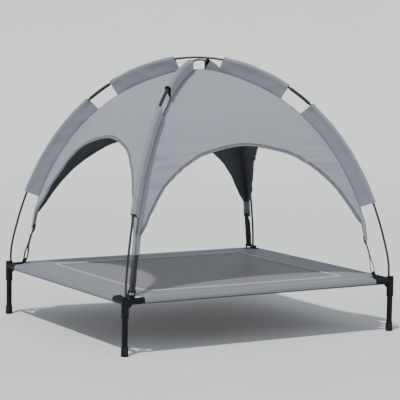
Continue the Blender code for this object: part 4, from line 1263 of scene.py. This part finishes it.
def corner_tapes():
    """Tape folded over the sling's four cut corners."""
    made = []
    for corner, (sign_x, sign_y) in CORNERS.items():
        start = np.array([sign_x * (HALF_X - CORNER_CUT + 0.001), sign_y * (HALF_Y - CORNER_STEP + 0.001), 0])
        end = np.array([sign_x * (HALF_X - CORNER_STEP + 0.001), sign_y * (HALF_Y - CORNER_CUT + 0.001), 0])
        flat = start + (end - start) * np.linspace(0, 1, 30)[:, None]
        path = sling_shape(flat) + (0, 0, SLING_THICKNESS / 2)
        into = np.cross(UPWARDS, unit(end - start))
        if into[:2] @ (sign_x, sign_y) > 0:
            into = -into
        upper = [(0.0075, 0.0006), (0.0070, 0.0011), (0.0020, 0.0013), (0.0, 0.0010), (-0.0010, 0.0)]
        section = upper + [(a, -b) for a, b in upper[-2::-1]]
        loops = [[p + into * a + UPWARDS * b for a, b in section] for p in path]
        made.append(loft("sling_corner_tape_" + corner, loops, [sling_material], angle=50))
    return made


# ---------------------------------------------------------------- build the bed frame

def stand_for(item, body, slot, *nodes):
    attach(item, body)
    if nodes:
        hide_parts(*nodes)
    return item


def build_frame():
    connectors = make_connectors()
    hook_master = moulded("hook_master", hook_shapes(), [], 0.00040, 4, nylon)
    for corner in CORNERS:
        stand_for(connectors[corner], "bed_frame", "connector_nylon", "connector_" + corner)
        place = leg_axis(corner)
        profile = [
            (0.0, 0.0), (FOOT_RADIUS - 0.0020, 0.0), (FOOT_RADIUS - 0.0006, 0.0006), (FOOT_RADIUS, 0.0020),
            (FOOT_RADIUS, 0.0056), (FOOT_RADIUS - 0.0003, 0.0066),
            (FOOT_RADIUS - 0.0006, FOOT_HEIGHT - 0.0016), (FOOT_RADIUS - 0.0010, FOOT_HEIGHT - 0.0003),
            (FOOT_RADIUS - 0.0014, FOOT_HEIGHT),
            (LEG_RADIUS + CLEARANCE, FOOT_HEIGHT), (LEG_RADIUS + CLEARANCE, FOOT_FLOOR), (0.0, FOOT_FLOOR),
        ]
        foot = turned("foot_" + corner, profile, place, foot_rubber)
        stand_for(foot, "bed_frame", "foot_rubber", "foot_cap_" + corner)
        levels = [FOOT_FLOOR + CLEARANCE, 0.02, 0.06, 0.10, LEG_SOCKET_TOP - CLEARANCE]
        path = [np.array([place.x, place.y, z]) for z in levels]
        leg = rod("leg_" + corner, path, (0, 1.0, 0), LEG_RADIUS, coated_steel, 48, 0.0005, LEG_BORE)
        stand_for(leg, "bed_frame", "frame_steel", "leg_tube_" + corner)
        turn = Matrix.Rotation(corner_azimuth(corner), 4, "Z")
        hook = copy_to(hook_master, "hook_" + corner, turn)
        stand_for(hook, "bed_frame", "connector_nylon", "strap_hook_" + corner)
    bpy.data.objects.remove(hook_master)
    for name, middle, direction in (
            ("front", (0, -HALF_Y), (1.0, 0, 0)), ("back", (0, HALF_Y), (1.0, 0, 0)),
            ("left", (-HALF_X, 0), (0, 1.0, 0)), ("right", (HALF_X, 0), (0, 1.0, 0))):
        reach = (HALF_X if direction[0] else HALF_Y) - BARREL_FLOOR - CLEARANCE
        path = np.array((*middle, TUBE_AXIS)) + np.outer(np.linspace(-reach, reach, 12), direction)
        side = np.cross(UPWARDS, direction)
        tube = rod("tube_" + name, path, side, TUBE_RADIUS, coated_steel, 40, 0.0005, TUBE_BORE)
        stand_for(tube, "bed_frame", "frame_steel", "frame_tube_" + name)
    sling = stand_for(make_sling(), "bed_frame", "sling_mesh", "sling_fabric")
    seams = stand_for(stitching("sling_stitching", sling_seams(), sling_thread), "bed_frame", "sling_mesh")
    tapes = [stand_for(tape, "bed_frame", "sling_mesh") for tape in corner_tapes() + seam_tapes()]


# ---------------------------------------------------------------- build the canopy

def build_poles():
    joint = (share_at(UPPER_SLEEVE[1]) + share_at(LOWER_SLEEVE[0])) / 2
    reach = FERRULE_LENGTH / 2 / POLE_LENGTH
    gap = 0.001 / POLE_LENGTH
    for pole, (start, end, lift) in POLES.items():
        for corner in (start, end):
            azimuth = corner_azimuth(corner)
            side = turn_about_z(ACROSS, azimuth)
            above = np.linspace(LEAN_ONSET, joint - gap, 40)[1:]
            shares = np.concatenate([np.linspace(0, LEAN_ONSET, 10), above])
            path = np.vstack([[HALF_DIAGONAL - POLE_INSET, 0, POLE_FOOT], pole_points(shares, lift)])
            name = pole + "_rod_" + corner
            piece = rod(name + "_fine", turn_about_z(path, azimuth), side, ROD_RADIUS, fibreglass, 20, 0.0010)
            stand_for(piece, "canopy", "pole_fibreglass", name)
            path = pole_points(np.linspace(joint - reach, joint + reach, 16), lift)
            name = pole + "_ferrule_" + corner
            path = turn_about_z(path, azimuth)
            bore = ROD_RADIUS + 0.0004
            piece = rod(name + "_fine", path, side, FERRULE_RADIUS, ferrule_metal, 32, 0.0008, bore)
            stand_for(piece, "canopy", "ferrule_metal", name)
        azimuth = corner_azimuth(start)
        half = pole_points(np.linspace(joint + gap, 1.0, 60), lift)
        path = np.vstack([half, (half[:-1] * (-1, 1, 1))[::-1]])
        name = pole + "_rod_middle"
        side = turn_about_z(ACROSS, azimuth)
        piece = rod(name + "_fine", turn_about_z(path, azimuth), side, ROD_RADIUS, fibreglass, 20, 0.0008)
        stand_for(piece, "canopy", "pole_fibreglass", name)


def build_canopy():
    cover = make_cover()
    runs = []
    for seed, (side, (azimuth, arch, *halves)) in enumerate(PANELS.items()):
        binding, run = make_binding("arch_binding_" + side, 1.7 * seed + 0.4, azimuth, arch, *halves)
        stand_for(binding, "canopy", "canopy_cloth")
        runs.append(run)
        for sign in (-1, 1):
            tape = make_seam_tape("ridge_seam_%s_%d" % (side, sign), 1.7 * seed + 0.4, sign, azimuth, *halves)
            stand_for(tape, "canopy", "canopy_cloth")
    lifts = {corner: lift for start, end, lift in POLES.values() for corner in (start, end)}
    strap_runs = []
    for number, corner in enumerate(CORNERS):
        azimuth = corner_azimuth(corner)
        for level, span, slant, own in (
                ("upper", UPPER_SLEEVE, UPPER_SLANT, 1.0), ("lower", LOWER_SLEEVE, LOWER_SLANT, 0.0)):
            name = "sleeve_" + level + "_" + corner
            sleeve, made = make_sleeve(name, span, slant, lifts[corner], azimuth, 2.1 * number + own)
            stand_for(sleeve, "canopy", "canopy_cloth", "pole_" + name)
            runs += made
        tab, made = make_tab("tab_" + corner, corner)
        stand_for(tab, "canopy", "canopy_cloth", "corner_tab_" + corner)
        runs += made
        strap, made = make_strap("strap_" + corner, azimuth)
        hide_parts("elastic_strap_" + corner)
        strap_runs += made
        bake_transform(strap)
    tacks = stitching("strap_stitching", strap_runs, strap_thread)
    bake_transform(tacks)
    seams = stand_for(stitching("canopy_stitching", runs, canopy_thread), "canopy", "canopy_cloth")
    stand_for(cover, "canopy", "canopy_cloth", *["canopy_panel_" + side for side in PANELS])


# ---------------------------------------------------------------- stage, light and camera

def look_at(item, target, roll=0.0):
    back = (item.location - Vector(target)).normalized()
    right = Vector((0, 0, 1)).cross(back).normalized()
    up = back.cross(right)
    turned_right = right * cos(roll) + up * sin(roll)
    turned_up = up * cos(roll) - right * sin(roll)
    item.rotation_mode = "QUATERNION"
    item.rotation_quaternion = Matrix((turned_right, turned_up, back)).transposed().to_quaternion()


def direction_from(azimuth, elevation):
    """The way out from the object: azimuth 0 is straight in front of it, and it grows to the right."""
    return Vector((sin(azimuth) * cos(elevation), -cos(azimuth) * cos(elevation), sin(elevation)))


def build_stage():
    """A pale floor that curves up all round into a backdrop."""
    material, tree, shader = new_material("pale_floor", 0.85)
    place = add_node(tree, "ShaderNodeTexCoord").outputs["Object"]
    tone = mix_colours(tree, noise(tree, place, 3.0), (0.71, 0.71, 0.70, 1), (0.75, 0.75, 0.74, 1))
    tree.links.new(tone, shader.inputs["Base Color"])
    flat_reach, sweep, sides = 4.0, 3.0, 96
    profile = [(radius, 0.0) for radius in np.linspace(0.4, flat_reach, 10)]
    profile += [(flat_reach + sweep * sin(a), sweep * (1 - cos(a))) for a in np.linspace(0, pi / 2, 25)[1:]]
    vertices = [(0.0, 0.0, 0.0)]
    for radius, height in profile:
        vertices += list(level_circle(UPWARDS * height, radius, sides))
    pairs = [(i, (i + 1) % sides) for i in range(sides)]
    faces = [(0, 1 + i, 1 + j) for i, j in pairs]
    for low in range(1, (len(profile) - 1) * sides, sides):
        faces += [(low + i, low + sides + i, low + sides + j, low + j) for i, j in pairs]
    new_object("floor", smooth_mesh("floor", vertices, faces, material))


def build_lights():
    world = bpy.data.worlds.new("studio")
    bpy.context.scene.world = world
    world.use_nodes = True
    sky = world.node_tree.nodes["Background"]
    sky.inputs["Color"].default_value = (0.83, 0.91, 1.0, 1)
    sky.inputs["Strength"].default_value = 0.52
    for name, azimuth, elevation, energy, spread, colour in (
            ("key", -56, 65, 3.1, 2.5, (1.0, 0.985, 0.965)),
            ("fill", 35, 35, 0.35, 40, (0.92, 0.96, 1.0))):
        light = bpy.data.lights.new(name, "SUN")
        light.energy = energy
        light.angle = radians(spread)
        light.color = colour
        lamp = new_object(name, light)
        lamp.location = 4 * direction_from(radians(azimuth), radians(elevation))
        look_at(lamp, (0, 0, 0))


def build_camera():
    target = Vector((0.0077, -0.0046, 0.3762))
    distance = 5.177
    data = bpy.data.cameras.new("camera")
    data.sensor_width = 36.0
    data.lens = 153.0
    data.clip_end = 100.0
    camera = new_object("camera", data)
    camera.location = target + distance * direction_from(radians(-30.63), radians(5.963))
    look_at(camera, target, radians(0.845))
    bpy.context.scene.camera = camera


build_camera()
build_stage()
build_lights()
build_frame()
build_poles()
build_canopy()
